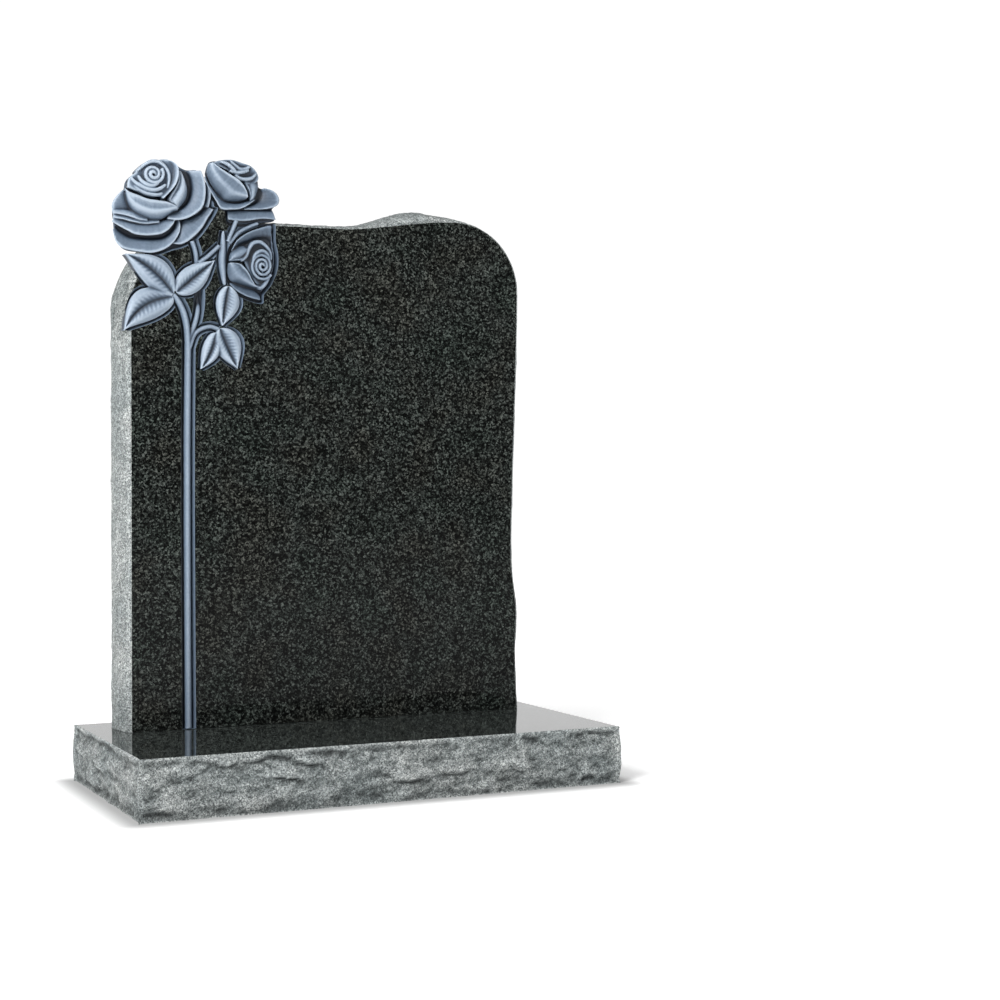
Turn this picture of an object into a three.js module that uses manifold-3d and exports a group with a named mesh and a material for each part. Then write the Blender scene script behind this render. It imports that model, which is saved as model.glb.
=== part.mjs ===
// An upright granite headstone standing on a separate granite base. The slab has a polished front,
// a waved top with two round shoulders and rock-pitched edges. A spray of three roses is carved
// from the same stone at its upper left: one long stem, six leaves and three heads, two of which
// stand clear of the slab's outline. Millimetres, +Z up, the polished front faces -Y, and the
// origin is the middle of the base's underside.
import * as THREE from 'three';
import Module from 'manifold-3d';
import { mergeVertices } from 'three/addons/utils/BufferGeometryUtils.js';

const wasm = await Module();
wasm.setup();

// Driving dimensions of the base.
const baseWidth = 650;
const baseDepth = 337;
const baseHeight = 76;
const basePitch = 5.5; // how far the rock face stands out of the arris
const baseTuck = 3; // how far the rock face draws in at its foot
const baseStep = 32; // spacing of the chisel facets

// Driving dimensions of the slab.
const slabWidth = 561;
const slabHeight = 693; // to the crest of the wave
const slabThickness = 76;
const slabSetback = 224; // from the base's front arris to the polished front
const slabOffset = 4; // of the slab's middle to the right of the base's
const bedGap = 0.3; // the bed joint under the slab
const leftShoulder = 115;
const rightShoulder = 95;
const waveDrop = 20; // the wave's hollow lies this far below its crest
const sideHollow = 9; // the shallow hollow in the right-hand edge
const slabPitch = 7; // how far the rock-pitched edge stands out halfway through
const browRise = 13; // the extra stone left standing above the wave
const browReach = 48; // half the length of that stone
const browInset = 158; // from the right-hand arris to its middle
const backSpread = 6; // the back arris stands out of the front arris by this
const slabStep = 25; // spacing of the chisel facets along the edge

// Driving dimensions of the carving.
const stemInset = 76; // from the slab's left arris to the stem
const sprayDrop = 169; // from the wave's crest down to the fork of the stem
const stemWidth = 9.5;
const twigWidth = 5.5;
const grooveWidth = 4.5; // cut beside each leaf and stem, at the polished front
const grooveFoot = 1.5; // the same at the groove's foot
const grooveDepth = 9;
const carvingDepth = 26; // how deep the carved bodies run into the stone
const headDepth = 36; // how thick a rose head is behind the polished front
const headTaper = 0.74; // the back of a head is this share of its front
const petalTuck = 0.2; // the backs of the petals draw in towards the head's middle by this share

// Places worked out from them.
const slabFoot = baseHeight + bedGap;
const slabTop = slabFoot + slabHeight;
const faceY = -baseDepth / 2 + slabSetback;
const slabLeft = slabOffset - slabWidth / 2;
const slabRight = slabOffset + slabWidth / 2;
const stemX = slabLeft + stemInset;
const forkZ = slabTop - sprayDrop;

// A point of the carving: u to the right of the stem, w above its fork, h out of the polished front.
const at = (u, w, h) => new THREE.Vector3(stemX + u, faceY - h, forkZ + w);

// Repeatable roughness between -1 and 1, smooth over about one unit.
function hash(i, j) {
  const s = Math.sin(i * 127.1 + j * 311.7) * 43758.5453;
  return 2 * (s - Math.floor(s)) - 1;
}
function roughness(x, y) {
  const i = Math.floor(x);
  const j = Math.floor(y);
  const smooth = (t) => t * t * (3 - 2 * t);
  const fx = smooth(x - i);
  const fy = smooth(y - j);
  const low = THREE.MathUtils.lerp(hash(i, j), hash(i + 1, j), fx);
  const high = THREE.MathUtils.lerp(hash(i, j + 1), hash(i + 1, j + 1), fx);
  return THREE.MathUtils.lerp(low, high, fy);
}

// Closed solids and back again.
function solid(positions, triangles) {
  let geometry = new THREE.BufferGeometry();
  geometry.setAttribute('position', new THREE.Float32BufferAttribute(positions.flatMap((p) => [p.x, p.y, p.z]), 3));
  geometry.setIndex(triangles);
  geometry = mergeVertices(geometry, 1e-3);
  const vertProperties = geometry.attributes.position.array;
  const triVerts = new Uint32Array(geometry.index.array);
  const point = (i) => new THREE.Vector3().fromArray(vertProperties, 3 * i);
  let volume = 0;
  for (let i = 0; i < triVerts.length; i += 3) {
    const cross = point(triVerts[i + 1]).cross(point(triVerts[i + 2]));
    volume += point(triVerts[i]).dot(cross);
  }
  if (volume < 0) {
    for (let i = 0; i < triVerts.length; i += 3) [triVerts[i + 1], triVerts[i + 2]] = [triVerts[i + 2], triVerts[i + 1]];
  }
  return new wasm.Manifold(new wasm.Mesh({ numProp: 3, vertProperties, triVerts }));
}
function pointsOf(manifold) {
  const { numProp, vertProperties } = manifold.getMesh();
  const count = vertProperties.length / numProp;
  return Array.from({ length: count }, (_, i) => new THREE.Vector3().fromArray(vertProperties, numProp * i));
}
function meshOf(name, manifold, material) {
  const geometry = new THREE.BufferGeometry().setFromPoints(pointsOf(manifold));
  geometry.setIndex([...manifold.getMesh().triVerts]);
  geometry.computeVertexNormals();
  const mesh = new THREE.Mesh(geometry, material);
  mesh.name = name;
  return mesh;
}

// The outer skin alone, with its finest slivers closed up, so that no pocket stays shut up inside.
function outerSkin(manifold) {
  const biggest = (parts) => parts.reduce((best, part) => (part.volume() > best.volume() ? part : best));
  const skin = biggest(manifold.simplify(0.05).decompose());
  return biggest(solid(pointsOf(skin), [...skin.getMesh().triVerts]).decompose());
}

// A solid through rings of points, each ring with as many points, closed by a flat cap at both ends.
// flatten gives the two coordinates in which a cap is triangulated.
function ringSolid(rings, flatten) {
  const count = rings[0].length;
  const triangles = [];
  rings.slice(1).forEach((_, k) => {
    for (let i = 0; i < count; i++) {
      const a = k * count + i;
      const b = k * count + ((i + 1) % count);
      triangles.push(a, b, a + count, b, b + count, a + count);
    }
  });
  const cap = (ring) => {
    const loop = ring.map(flatten);
    const faces = THREE.ShapeUtils.triangulateShape(loop, []);
    return THREE.ShapeUtils.isClockWise(loop) ? faces.map(([a, b, c]) => [b, a, c]) : faces;
  };
  const last = (rings.length - 1) * count;
  for (const [a, b, c] of cap(rings[0])) triangles.push(b, a, c);
  for (const [a, b, c] of cap(rings.at(-1))) triangles.push(last + a, last + b, last + c);
  return solid(rings.flat(), triangles);
}

// A solid between two grids of points, top and bottom, joined round their borders.
function gridSolid(top, bottom) {
  const rows = top.length;
  const columns = top[0].length;
  const triangles = [];
  const quad = (a, b, c, d) => triangles.push(a, b, c, a, c, d);
  const upper = (i, j) => i * columns + j;
  const lower = (i, j) => rows * columns + upper(i, j);
  for (let i = 0; i < rows - 1; i++) {
    for (let j = 0; j < columns - 1; j++) {
      quad(upper(i, j), upper(i + 1, j), upper(i + 1, j + 1), upper(i, j + 1));
      quad(lower(i, j), lower(i, j + 1), lower(i + 1, j + 1), lower(i + 1, j));
    }
    quad(upper(i, 0), lower(i, 0), lower(i + 1, 0), upper(i + 1, 0));
    quad(upper(i, columns - 1), upper(i + 1, columns - 1), lower(i + 1, columns - 1), lower(i, columns - 1));
  }
  for (let j = 0; j < columns - 1; j++) {
    quad(upper(0, j), upper(0, j + 1), lower(0, j + 1), lower(0, j));
    quad(upper(rows - 1, j), lower(rows - 1, j), lower(rows - 1, j + 1), upper(rows - 1, j + 1));
  }
  return solid([...top.flat(), ...bottom.flat()], triangles);
}

const spline = (points) => new THREE.SplineCurve(points.map(([u, w]) => new THREE.Vector2(u, w)));
const shares = (steps) => Array.from({ length: steps + 1 }, (_, i) => i / steps);

// The base: a sawn block with a polished top and four rock-pitched sides.
function baseBlock() {
  const halfW = baseWidth / 2;
  const halfD = baseDepth / 2;
  const border = [];
  const side = (from, to, normal) => {
    const steps = Math.max(2, Math.round(Math.hypot(to[0] - from[0], to[1] - from[1]) / baseStep));
    for (let i = 0; i < steps; i++) {
      const t = i / steps;
      const corner = i === 0;
      border.push({ x: from[0] + (to[0] - from[0]) * t, y: from[1] + (to[1] - from[1]) * t, normal, corner });
    }
  };
  side([-halfW, -halfD], [halfW, -halfD], [0, -1]);
  side([halfW, -halfD], [halfW, halfD], [1, 0]);
  side([halfW, halfD], [-halfW, halfD], [0, 1]);
  side([-halfW, halfD], [-halfW, -halfD], [-1, 0]);
  const levels = [0, 0.2, 0.45, 0.72, 0.92, 1];
  const rings = levels.map((level, k) => {
    const swell = basePitch * Math.sin(Math.PI * Math.min(1, 0.12 + 0.88 * level)) - baseTuck * (1 - level) ** 2;
    return border.map(({ x, y, normal, corner }, i) => {
      const inner = k > 0 && k < levels.length - 1;
      const rough = inner ? (basePitch / 2) * roughness(i * 0.55 + 7, k * 0.9) : 0;
      const out = k === levels.length - 1 ? 0 : Math.min(basePitch, swell + rough);
      const dx = corner ? Math.sign(x) * swell * 0.5 : normal[0] * out;
      const dy = corner ? Math.sign(y) * swell * 0.5 : normal[1] * out;
      const top = k === levels.length - 1;
      return new THREE.Vector3(x + (top ? 0 : dx), y + (top ? 0 : dy), level * baseHeight);
    });
  });
  return ringSolid(rings, (p) => new THREE.Vector2(p.x, p.y));
}

// The slab's front arris, anticlockwise from the lower left corner as seen from the front.
function slabOutline() {
  const crestX = slabRight - rightShoulder;
  const hollowX = slabOffset;
  const shape = new THREE.Shape();
  shape.moveTo(slabLeft, slabFoot);
  shape.lineTo(slabRight, slabFoot);
  const rise = slabTop - rightShoulder - slabFoot;
  const edge = [[0.13, 0.35], [0.24, 0.15], [0.36, 1], [0.55, 0.8], [0.78, 0.3], [0.94, 0], [1, 0]];
  shape.splineThru(edge.map(([t, share]) => new THREE.Vector2(slabRight - sideHollow * share, slabFoot + rise * t)));
  shape.absellipse(crestX, slabTop - rightShoulder, rightShoulder, rightShoulder, 0, Math.PI / 2, false, 0);
  const shoulderTop = slabTop - waveDrop - 8;
  shape.bezierCurveTo(crestX - 60, slabTop, hollowX + 60, slabTop - waveDrop, hollowX, slabTop - waveDrop);
  shape.quadraticCurveTo(slabLeft + leftShoulder + 60, slabTop - waveDrop, slabLeft + leftShoulder, shoulderTop);
  shape.absellipse(slabLeft + leftShoulder, shoulderTop - leftShoulder, leftShoulder, leftShoulder, Math.PI / 2, Math.PI, false, 0);
  const curves = shape.curves.map((curve) => {
    const steps = Math.max(1, Math.round(curve.getLength() / slabStep));
    return curve.getSpacedPoints(steps).slice(0, -1);
  });
  const left = new THREE.LineCurve(new THREE.Vector2(slabLeft, shoulderTop - leftShoulder), new THREE.Vector2(slabLeft, slabFoot));
  return [...curves.flat(), ...left.getSpacedPoints(Math.round(left.getLength() / slabStep)).slice(0, -1)];
}

// The slab: a flat front and back, and an edge that swells out between them.
function slabBlock() {
  const outline = slabOutline();
  const count = outline.length;
  const normals = outline.map((p, i) => {
    const before = outline[(i + count - 1) % count];
    const after = outline[(i + 1) % count];
    const onBed = p.y < slabFoot + 1e-6;
    if (onBed) return new THREE.Vector2(p.x < slabLeft + 1e-6 ? -1 : p.x > slabRight - 1e-6 ? 1 : 0, 0);
    return new THREE.Vector2(after.y - before.y, before.x - after.x).normalize();
  });
  const levels = [0, 0.14, 0.36, 0.62, 0.86, 1];
  const rings = levels.map((level, k) => outline.map((p, i) => {
    const rough = k > 0 ? slabPitch * 0.5 * roughness(i * 0.6 + 3, k * 0.9 + 5) : 0;
    const upward = Math.max(0, normals[i].y);
    const brow = browRise * upward * Math.exp(-(((p.x - slabRight + browInset) / browReach) ** 2));
    const pitch = slabPitch * (1 - 0.45 * upward) + brow;
    const out = pitch * Math.sin(Math.PI * level) ** 0.6 + backSpread * level + rough;
    return new THREE.Vector3(p.x + normals[i].x * out, faceY + slabThickness * level, p.y + normals[i].y * out);
  }));
  return ringSolid(rings, (p) => new THREE.Vector2(p.x, p.z));
}

// A leaf: base and tip of its midrib, how far the midrib bows to the left of that line, and the
// half-widths to its left and right. s runs along the midrib and t across it from -1 to 1.
function leafPoint({ base, tip, bow, left, right }, s, t, extra = 0) {
  const from = new THREE.Vector2(...base);
  const along = new THREE.Vector2(...tip).sub(from);
  const across = new THREE.Vector2(-along.y, along.x).normalize();
  const half = t > 0 ? left : right;
  const share = Math.max(0.06, Math.sin(Math.PI * s ** 0.75) ** (0.7 + 0.35 * s) || 0);
  const middle = from.addScaledVector(along, s).addScaledVector(across, 4 * bow * s * (1 - s));
  return middle.addScaledVector(across, t * (half * share + extra));
}
const leafEdge = -0.5; // heights out of the polished front
const leafCrest = 2.5;
const leafRib = -5;
function leafSolid(leaf) {
  const across = [[-1, leafEdge], [-0.6, leafCrest], [0, leafRib], [0.6, leafCrest], [1, leafEdge]];
  const top = shares(7).map((s) => across.map(([t, height]) => {
    const p = leafPoint(leaf, s, t);
    return at(p.x, p.y, height * Math.sin(Math.PI * (0.06 + 0.88 * s)) ** 0.5);
  }));
  const bottom = shares(7).map((s) => across.map(([t]) => {
    const p = leafPoint(leaf, s, t * 0.85);
    return at(p.x, p.y, -carvingDepth);
  }));
  return gridSolid(top, bottom);
}
function leafGroove(leaf) {
  const ring = (extra, height) => {
    const there = shares(8).map((s) => leafPoint(leaf, s, 1, extra));
    const back = shares(8).map((s) => leafPoint(leaf, 1 - s, -1, extra));
    return [...there, ...back].map((p) => at(p.x, p.y, height));
  };
  const rings = [ring(grooveWidth, 4), ring(grooveWidth, 0), ring(grooveFoot, -grooveDepth)];
  return ringSolid(rings, (p) => new THREE.Vector2(p.x, p.z));
}

// A ridge or stem along a path. Its width and crest height may change along the path.
function sweepAlong(path, steps, section) {
  const curve = spline(path);
  return shares(steps).map((s) => {
    const p = curve.getPoint(s);
    const tangent = curve.getTangent(s);
    return section(s).map(([t, height]) => at(p.x - tangent.y * t, p.y + tangent.x * t, height));
  });
}
const valueAt = (value, s) => (typeof value === 'function' ? value(s) : value);
function ridge({ path, width, crest, foot = -carvingDepth, steps = 10 }) {
  const top = sweepAlong(path, steps, (s) => {
    const half = valueAt(width, s) / 2;
    const high = valueAt(crest, s);
    return [[-half, high - half * 0.7], [-half * 0.45, high], [half * 0.45, high], [half, high - half * 0.7]];
  });
  const bottom = sweepAlong(path, steps, (s) => {
    const half = valueAt(width, s) / 2;
    return [[-half, foot], [-half * 0.45, foot], [half * 0.45, foot], [half, foot]];
  });
  return gridSolid(top, bottom);
}
function ridgeGroove({ path, width, steps = 10 }, index) {
  const floor = -grooveDepth + 0.37 * index; // no two floors lie in one plane
  const flank = (s, extra) => valueAt(width, s) / 2 + extra;
  const top = sweepAlong(path, steps, (s) => [-1, 1].map((k) => [k * flank(s, grooveWidth), 4]));
  const face = sweepAlong(path, steps, (s) => [-1, 1].map((k) => [k * flank(s, grooveWidth), 0]));
  const foot = sweepAlong(path, steps, (s) => [-1, 1].map((k) => [k * flank(s, grooveFoot), floor]));
  return gridSolid(top, face).add(gridSolid(face, foot));
}

// A petal between two lines: its root and its rim, with heights given as [share of the way, height].
function petal({ root, rim, profile, middle, drop = 3, steps = 6, back = -carvingDepth }) {
  const inner = spline(root);
  const outer = spline(rim);
  const axis = at(middle.x, middle.y, back);
  const place = (s, v, height) => {
    const p = inner.getPoint(s).lerp(outer.getPoint(s), v);
    return at(p.x, p.y, height);
  };
  const sag = (s) => drop * (1 - Math.sin(Math.PI * s) ** 0.6);
  const top = shares(steps).map((s) => profile.map(([v, height]) => place(s, v, height - sag(s))));
  const bottom = shares(steps).map((s) => profile.map(([v]) => place(s, v, back).lerp(axis, petalTuck)));
  return gridSolid(top, bottom);
}
// A petal that opens like a dish, low at its root, and one that bellies out below a rolled lip.
const dish = (low, high) => [[0, low], [0.4, low + 0.65 * (high - low)], [0.9, high], [1, high - 1.5]];
const bowl = (foot, belly, lip) => [[0, foot], [0.25, (foot + 2 * belly) / 3], [0.6, belly], [0.9, lip], [1, lip - 1.5]];

// A head's outline drawn round, the body behind its petals, which tapers to the back, and the
// pocket that frees it from the polished face.
function headLoop(outline) {
  const closed = new THREE.SplineCurve([...outline, outline[0]].map(([u, w]) => new THREE.Vector2(u, w)));
  return closed.getPoints(Math.round(outline.length * 1.5)).slice(0, -1);
}
const middleOf = (loop) => loop.reduce((sum, p) => sum.add(p), new THREE.Vector2()).divideScalar(loop.length);
function headRing(loop, move, height) {
  const middle = middleOf(loop);
  return loop.map((p) => move(p.clone().sub(middle)).add(middle)).map((p) => at(p.x, p.y, height));
}
function headBody(outline, front, back) {
  const loop = headLoop(outline);
  const ring = (share, height) => headRing(loop, (away) => away.multiplyScalar(share), height);
  const levels = [[0.97, 0], [0.95, 0.3], [0.87, 0.65], [headTaper, 1]]; // share of the outline, share of the depth
  const rings = levels.map(([share, t]) => ring(share, THREE.MathUtils.lerp(front, back, t)));
  return ringSolid(rings, (p) => new THREE.Vector2(p.x, p.z));
}
function headPocket({ outline }) {
  const loop = headLoop(outline);
  const ring = (extra, height) => headRing(loop, (away) => away.setLength(away.length() + extra), height);
  const rings = [ring(grooveWidth, 4), ring(grooveWidth, 0), ring(grooveFoot, -grooveDepth)];
  return ringSolid(rings, (p) => new THREE.Vector2(p.x, p.z));
}

// The rolled heart of a rose: one ridge wound outwards, drawn flatter by squash.
function heart({ centre, start, pitch, turns, squash, width, crest, slope, foot }) {
  const steps = Math.round(turns * 9);
  const path = shares(steps).map((s) => {
    const angle = 2 * Math.PI * turns * s;
    const radius = start + pitch * turns * s;
    return [centre[0] + radius * Math.cos(angle), centre[1] + radius * squash * Math.sin(angle)];
  });
  return ridge({ path, width, crest: (s) => crest - slope * s, foot, steps });
}

// The stems, from the foot of the slab to the heads.
const stems = [
  {
    path: [[1, slabFoot - forkZ - 4], [0, -300], [0, -150], [1, -45], [1, -6], [-3, 20], [-10, 37], [-19, 49]],
    width: (s) => stemWidth - 3.5 * s ** 6,
    crest: 0,
    steps: 18,
  },
  {
    path: [[1, -14], [9, 6], [14, 25], [16, 48], [14, 80], [12, 104], [7, 120]],
    width: twigWidth + 1,
    crest: (s) => -1 - 7 * Math.exp(-(((s - 0.57) / 0.16) ** 4)), // it passes under a leaf
    steps: 11,
  },
  { path: [[3, -22], [10, -3], [20, 5], [32, 8], [43, 5]], width: twigWidth, crest: -0.5, steps: 8 },
  { path: [[16, 92], [28, 101], [44, 116]], width: twigWidth, crest: -1, steps: 4 },
  { path: [[49, 136], [49, 116], [48, 96], [49, 80], [51, 64]], width: (s) => 1.5 + 8.5 * Math.sin(Math.PI * (0.04 + 0.9 * s)), crest: 0, steps: 8 },
  { path: [[68, 151], [62, 137], [56, 122]], width: twigWidth, crest: -1, steps: 4 },
  { path: [[58, 119], [71, 135], [86, 144], [98, 149]], width: twigWidth - 1, crest: -2, steps: 5 },
];

// The leaves: three at the trefoil, one under the lowest rose and a pair on the side twig.
const leaves = [
  { base: [-19, 49], tip: [-83, 98], bow: -7, left: 20, right: 20 },
  { base: [-20, 45], tip: [-84, -1], bow: -11, left: 21, right: 21 },
  { base: [-15, 51], tip: [37, 96], bow: 0, left: 17, right: 17 },
  { base: [56, 63], tip: [47, 9], bow: 0, left: 19, right: 13 },
  { base: [44, 6], tip: [68, -47], bow: 0, left: 20, right: 16 },
  { base: [39, 0], tip: [17, -49], bow: 4, left: 12, right: 13 },
];

// The open rose at the upper left: outline, petals from the back to the front, and its heart.
const openRose = {
  outline: [[-97.5, 137], [-99, 155], [-95, 168.5], [-84.5, 180.5], [-80.5, 195], [-65, 209.5],
    [-46.5, 222], [-27.5, 228.5], [-13, 222.5], [2, 216], [18, 216.5], [26, 202], [31.5, 185], [31.5, 168],
    [37, 164.5], [26, 145], [11, 125.5], [-8, 114], [-20, 110.5], [-38.5, 103], [-60, 100.5], [-83.5, 103],
    [-95, 118]],
  petals: [
    {
      root: [[25, 207], [27, 194], [27.5, 179.5], [25, 167.5]],
      rim: [[26.5, 204], [31.5, 191.5], [32, 178], [30, 166]],
      profile: dish(-5, -1),
    },
    {
      root: [[25.5, 168], [17.5, 158], [5.5, 151], [-4, 147.5], [-8.5, 140.5], [-9.5, 131.5], [-13.5, 123.5]],
      rim: [[37, 164], [29.5, 153], [21.5, 139.5], [12, 128], [1, 119], [-8.5, 114.5], [-18, 115]],
      profile: dish(-9, -1),
    },
    {
      root: [[-94.5, 134], [-86.5, 128], [-73.5, 121.5], [-52.5, 120.5], [-34, 122.5], [-23, 129],
        [-16.5, 137.5], [-13.5, 145.5]],
      rim: [[-98.5, 129], [-95.5, 115], [-88, 106], [-75, 102.5], [-60.5, 101], [-47, 101], [-34, 105],
        [-23, 112], [-14, 122.5], [-9, 134.5], [-9.5, 145]],
      profile: dish(-9, 0),
    },
    {
      root: [[-79.5, 175.5], [-78.5, 168], [-75.5, 160.5], [-70.5, 151.5]],
      rim: [[-85, 181.5], [-94, 172], [-99.5, 162.5], [-99.5, 151]],
      profile: dish(-5, -0.5),
    },
    {
      root: [[-96.5, 146.5], [-87.5, 143], [-73, 140], [-56, 139], [-38.5, 141.5], [-26.5, 146.5],
        [-20, 148.5]],
      rim: [[-100.5, 138.5], [-90, 132.5], [-79.5, 127.5], [-70.5, 123.5], [-53, 123], [-37.5, 125.5],
        [-28, 130.5], [-20, 139], [-17, 145.5]],
      profile: dish(-4, 3),
    },
    {
      root: [[-0.5, 213], [5, 203], [7, 189], [4.5, 175.5], [-2, 166], [-11.5, 160], [-23.5, 155]],
      rim: [[18.5, 213.5], [23.5, 198], [24, 181], [20.5, 166], [12, 156.5], [-0.5, 149], [-14, 145.5],
        [-27, 146.5]],
      profile: dish(-7, 4),
    },
    {
      root: [[-8.5, 210.5], [-2, 200.5], [1.5, 188], [-0.5, 176], [-6, 166.5], [-11.5, 160.5]],
      rim: [[-12, 211], [-12.5, 199], [-16.5, 188.5], [-22, 180], [-26, 172], [-20.5, 167]],
      profile: bowl(-6, 5.5, 4),
    },
    {
      root: [[-27, 224], [-23, 213], [-23, 198.5], [-28.5, 186.5], [-37.5, 175]],
      rim: [[-24.5, 225.5], [-15.5, 216.5], [-14, 203.5], [-19.5, 188.5], [-34, 171.5]],
      profile: dish(0, 10.5),
    },
    {
      root: [[-82, 176], [-78.5, 162], [-69, 150], [-54.5, 144.5], [-40, 144.5], [-28, 149.5], [-19, 156],
        [-12, 159.5]],
      rim: [[-87, 183], [-80.5, 177.5], [-68.5, 173.5], [-55.5, 169.5], [-42.5, 168.5], [-30.5, 167.5],
        [-21, 164.5], [-13, 159.5]],
      profile: bowl(-4, 9.5, 12),
    },
  ],
  core: [[-82, 182.5], [-79.5, 195.5], [-66.5, 207], [-50.5, 218.5], [-32, 224.5], [-20, 221],
    [-14.5, 208.5], [-20, 191], [-32, 176], [-50.5, 173], [-69, 178.5]],
  folds: [
    {
      path: [[-69.5, 204.5], [-60, 213], [-51, 218.5], [-41.5, 219], [-33.5, 214.5], [-27.5, 206],
        [-26.5, 196], [-28.5, 186]],
      width: 3.8,
      crest: 9,
      steps: 8,
    },
    {
      path: [[-77, 196.5], [-72.5, 191], [-66, 187], [-55.5, 183], [-45, 182.5], [-37, 185.5], [-31, 190.5]],
      width: 3.8,
      crest: 10.5,
      steps: 7,
    },
    {
      path: [[-67.5, 199], [-64, 193], [-57, 188.5], [-49, 187.5], [-41, 191]],
      width: 3.8,
      crest: 11.5,
      steps: 5,
    },
    {
      path: [[-73, 187], [-64, 180.5], [-53.5, 177], [-43, 176.5], [-35, 179]],
      width: 3.8,
      crest: 8,
      steps: 5,
    },
  ],
  heart: { centre: [-48, 202.5], start: 1.6, pitch: 6, turns: 1.9, squash: 0.95, width: 3.6, crest: 13, slope: 2, foot: -6 },
};

// The half-open rose at the upper right, seen from the side.
const sideRose = {
  outline: [[25, 212.5], [30.5, 227.5], [44, 230.5], [60.5, 232.5], [77, 230], [88.5, 227.5], [98, 218.5],
    [99.5, 206], [102.5, 197.5], [117.5, 196], [127.5, 186], [127.5, 177], [120.5, 167.5], [124.5, 154],
    [103.5, 149], [78.5, 146], [56.5, 147.5], [53.5, 163.5], [42.5, 170], [31.5, 188]],
  petals: [
    {
      root: [[56, 164], [73, 164.5], [90, 165.5], [104, 167], [119.5, 168.5]],
      rim: [[56, 151.5], [72.5, 150.5], [86.5, 152], [103, 155.5], [123.5, 155.5]],
      profile: dish(-5, -1),
    },
    {
      root: [[102, 195], [101, 187.5], [97.5, 180.5], [91, 175.5], [81, 171.5]],
      rim: [[106, 197], [119, 193.5], [126.5, 184.5], [124.5, 175], [113, 169.5], [96.5, 167], [78, 166]],
      profile: dish(-8, 2),
    },
    {
      root: [[25.5, 209.5], [29.5, 199], [36.5, 189], [44.5, 180.5], [54.5, 174.5], [68, 174], [78.5, 177],
        [86, 181]],
      rim: [[22.5, 204.5], [26.5, 193], [32.5, 183], [38.5, 173], [45.5, 164], [61.5, 164.5], [72.5, 166.5],
        [83, 172], [93, 180]],
      profile: dish(-5, 3.5),
    },
    {
      root: [[98, 209.5], [99, 199], [96.5, 189.5], [92.5, 181], [86, 177.5]],
      rim: [[74, 205.5], [79.5, 199.5], [83.5, 192.5], [85.5, 185.5], [85, 180]],
      profile: bowl(-5, 3, 2),
    },
    {
      root: [[29, 223.5], [27, 213], [30.5, 201.5], [36.5, 192], [43.5, 184], [51.5, 177], [65.5, 176.5],
        [76.5, 178.5], [83, 181.5]],
      rim: [[32, 224.5], [40, 219], [48, 214], [56.5, 209.5], [64.5, 205.5], [70, 201.5], [75.5, 195],
        [79, 188.5], [81, 181.5]],
      profile: bowl(-4, 9, 10.5),
    },
  ],
  core: [[30.5, 224], [43, 229], [59.5, 231], [76, 227.5], [87, 224.5], [96, 216], [97.5, 205.5],
    [85.5, 199], [69, 207], [52.5, 216.5]],
  folds: [
    {
      path: [[43.5, 226.5], [53, 223.5], [60, 218.5], [65.5, 214]],
      width: 3.8,
      crest: 8,
      steps: 4,
    },
    {
      path: [[57.5, 228.5], [64.5, 222.5], [71.5, 218.5], [79.5, 220], [84.5, 223.5]],
      width: 3.8,
      crest: 6.5,
      steps: 5,
    },
    {
      path: [[56, 215], [67, 214], [75.5, 215.5], [83, 218]],
      width: 3.8,
      crest: 7,
      steps: 4,
    },
    {
      path: [[64.5, 210.5], [71.5, 206.5], [80, 206], [87.5, 208.5], [93.5, 214.5]],
      width: 3.8,
      crest: 6,
      steps: 5,
    },
  ],
};

// The lower rose, which lies inside the slab and faces right.
const lowRose = {
  outline: [[57.5, 95.5], [59, 110], [68.5, 125], [86.5, 137.5], [105, 145], [118.5, 151], [118.5, 124],
    [121, 105.5], [119.5, 88], [112, 70], [103.5, 57.5], [102, 46], [86.5, 48], [67, 56], [58, 70], [56, 83]],
  petals: [
    {
      root: [[68, 112], [75, 119.5], [86.5, 124], [99, 128.5], [111.5, 128], [117, 120.5]],
      rim: [[60.5, 111], [68, 124.5], [80.5, 134.5], [94.5, 141], [107, 145.5], [117, 148]],
      profile: dish(-9, -0.5),
    },
    {
      root: [[114.5, 128.5], [116, 115], [116.5, 99], [113.5, 85], [107, 71.5], [100, 60.5]],
      rim: [[116.5, 144], [118, 122.5], [120, 106.5], [118.5, 89], [111.5, 71.5], [102.5, 57.5]],
      profile: dish(-8, -2),
    },
    {
      root: [[62, 69], [72, 66.5], [83, 64], [93, 61.5], [101, 55]],
      rim: [[58, 66], [66.5, 57.5], [79, 51], [91.5, 47.5], [101.5, 46]],
      profile: dish(-8, -0.5),
    },
    {
      root: [[57.5, 97.5], [59.5, 107], [66.5, 114], [76, 118], [84.5, 116.5]],
      rim: [[56.5, 96], [65.5, 97], [74, 98.5], [79.5, 103.5], [83.5, 111]],
      profile: bowl(-5, 3.5, 2.5),
    },
    {
      root: [[56.5, 93.5], [55, 82.5], [59, 71.5], [68.5, 67], [79.5, 64], [91, 62], [98, 61.5]],
      rim: [[56, 94], [70, 93], [77, 88], [82.5, 81], [86.5, 73], [92, 65.5], [99, 62.5]],
      profile: bowl(-5, 6, 6.5),
    },
  ],
  core: [[76.5, 97.5], [86, 118], [100, 123], [112.5, 114], [117, 98.5], [114, 82], [105.5, 68],
    [95.5, 66.5], [86, 80.5]],
  folds: [
    {
      path: [[73, 96.5], [80, 103.5], [83.5, 113], [89, 121], [98, 123.5], [106.5, 119], [113, 111],
        [115, 100.5]],
      width: 3.8,
      crest: 4.5,
      steps: 8,
    },
    {
      path: [[92.5, 65.5], [99.5, 62.5], [106.5, 68.5], [112.5, 78]],
      width: 3.8,
      crest: 4,
      steps: 4,
    },
  ],
  heart: { centre: [101.5, 91.5], start: 1.6, pitch: 6.4, turns: 2.1, squash: 1.12, width: 3.6, crest: 7, slope: 3, foot: -8 },
};

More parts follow.
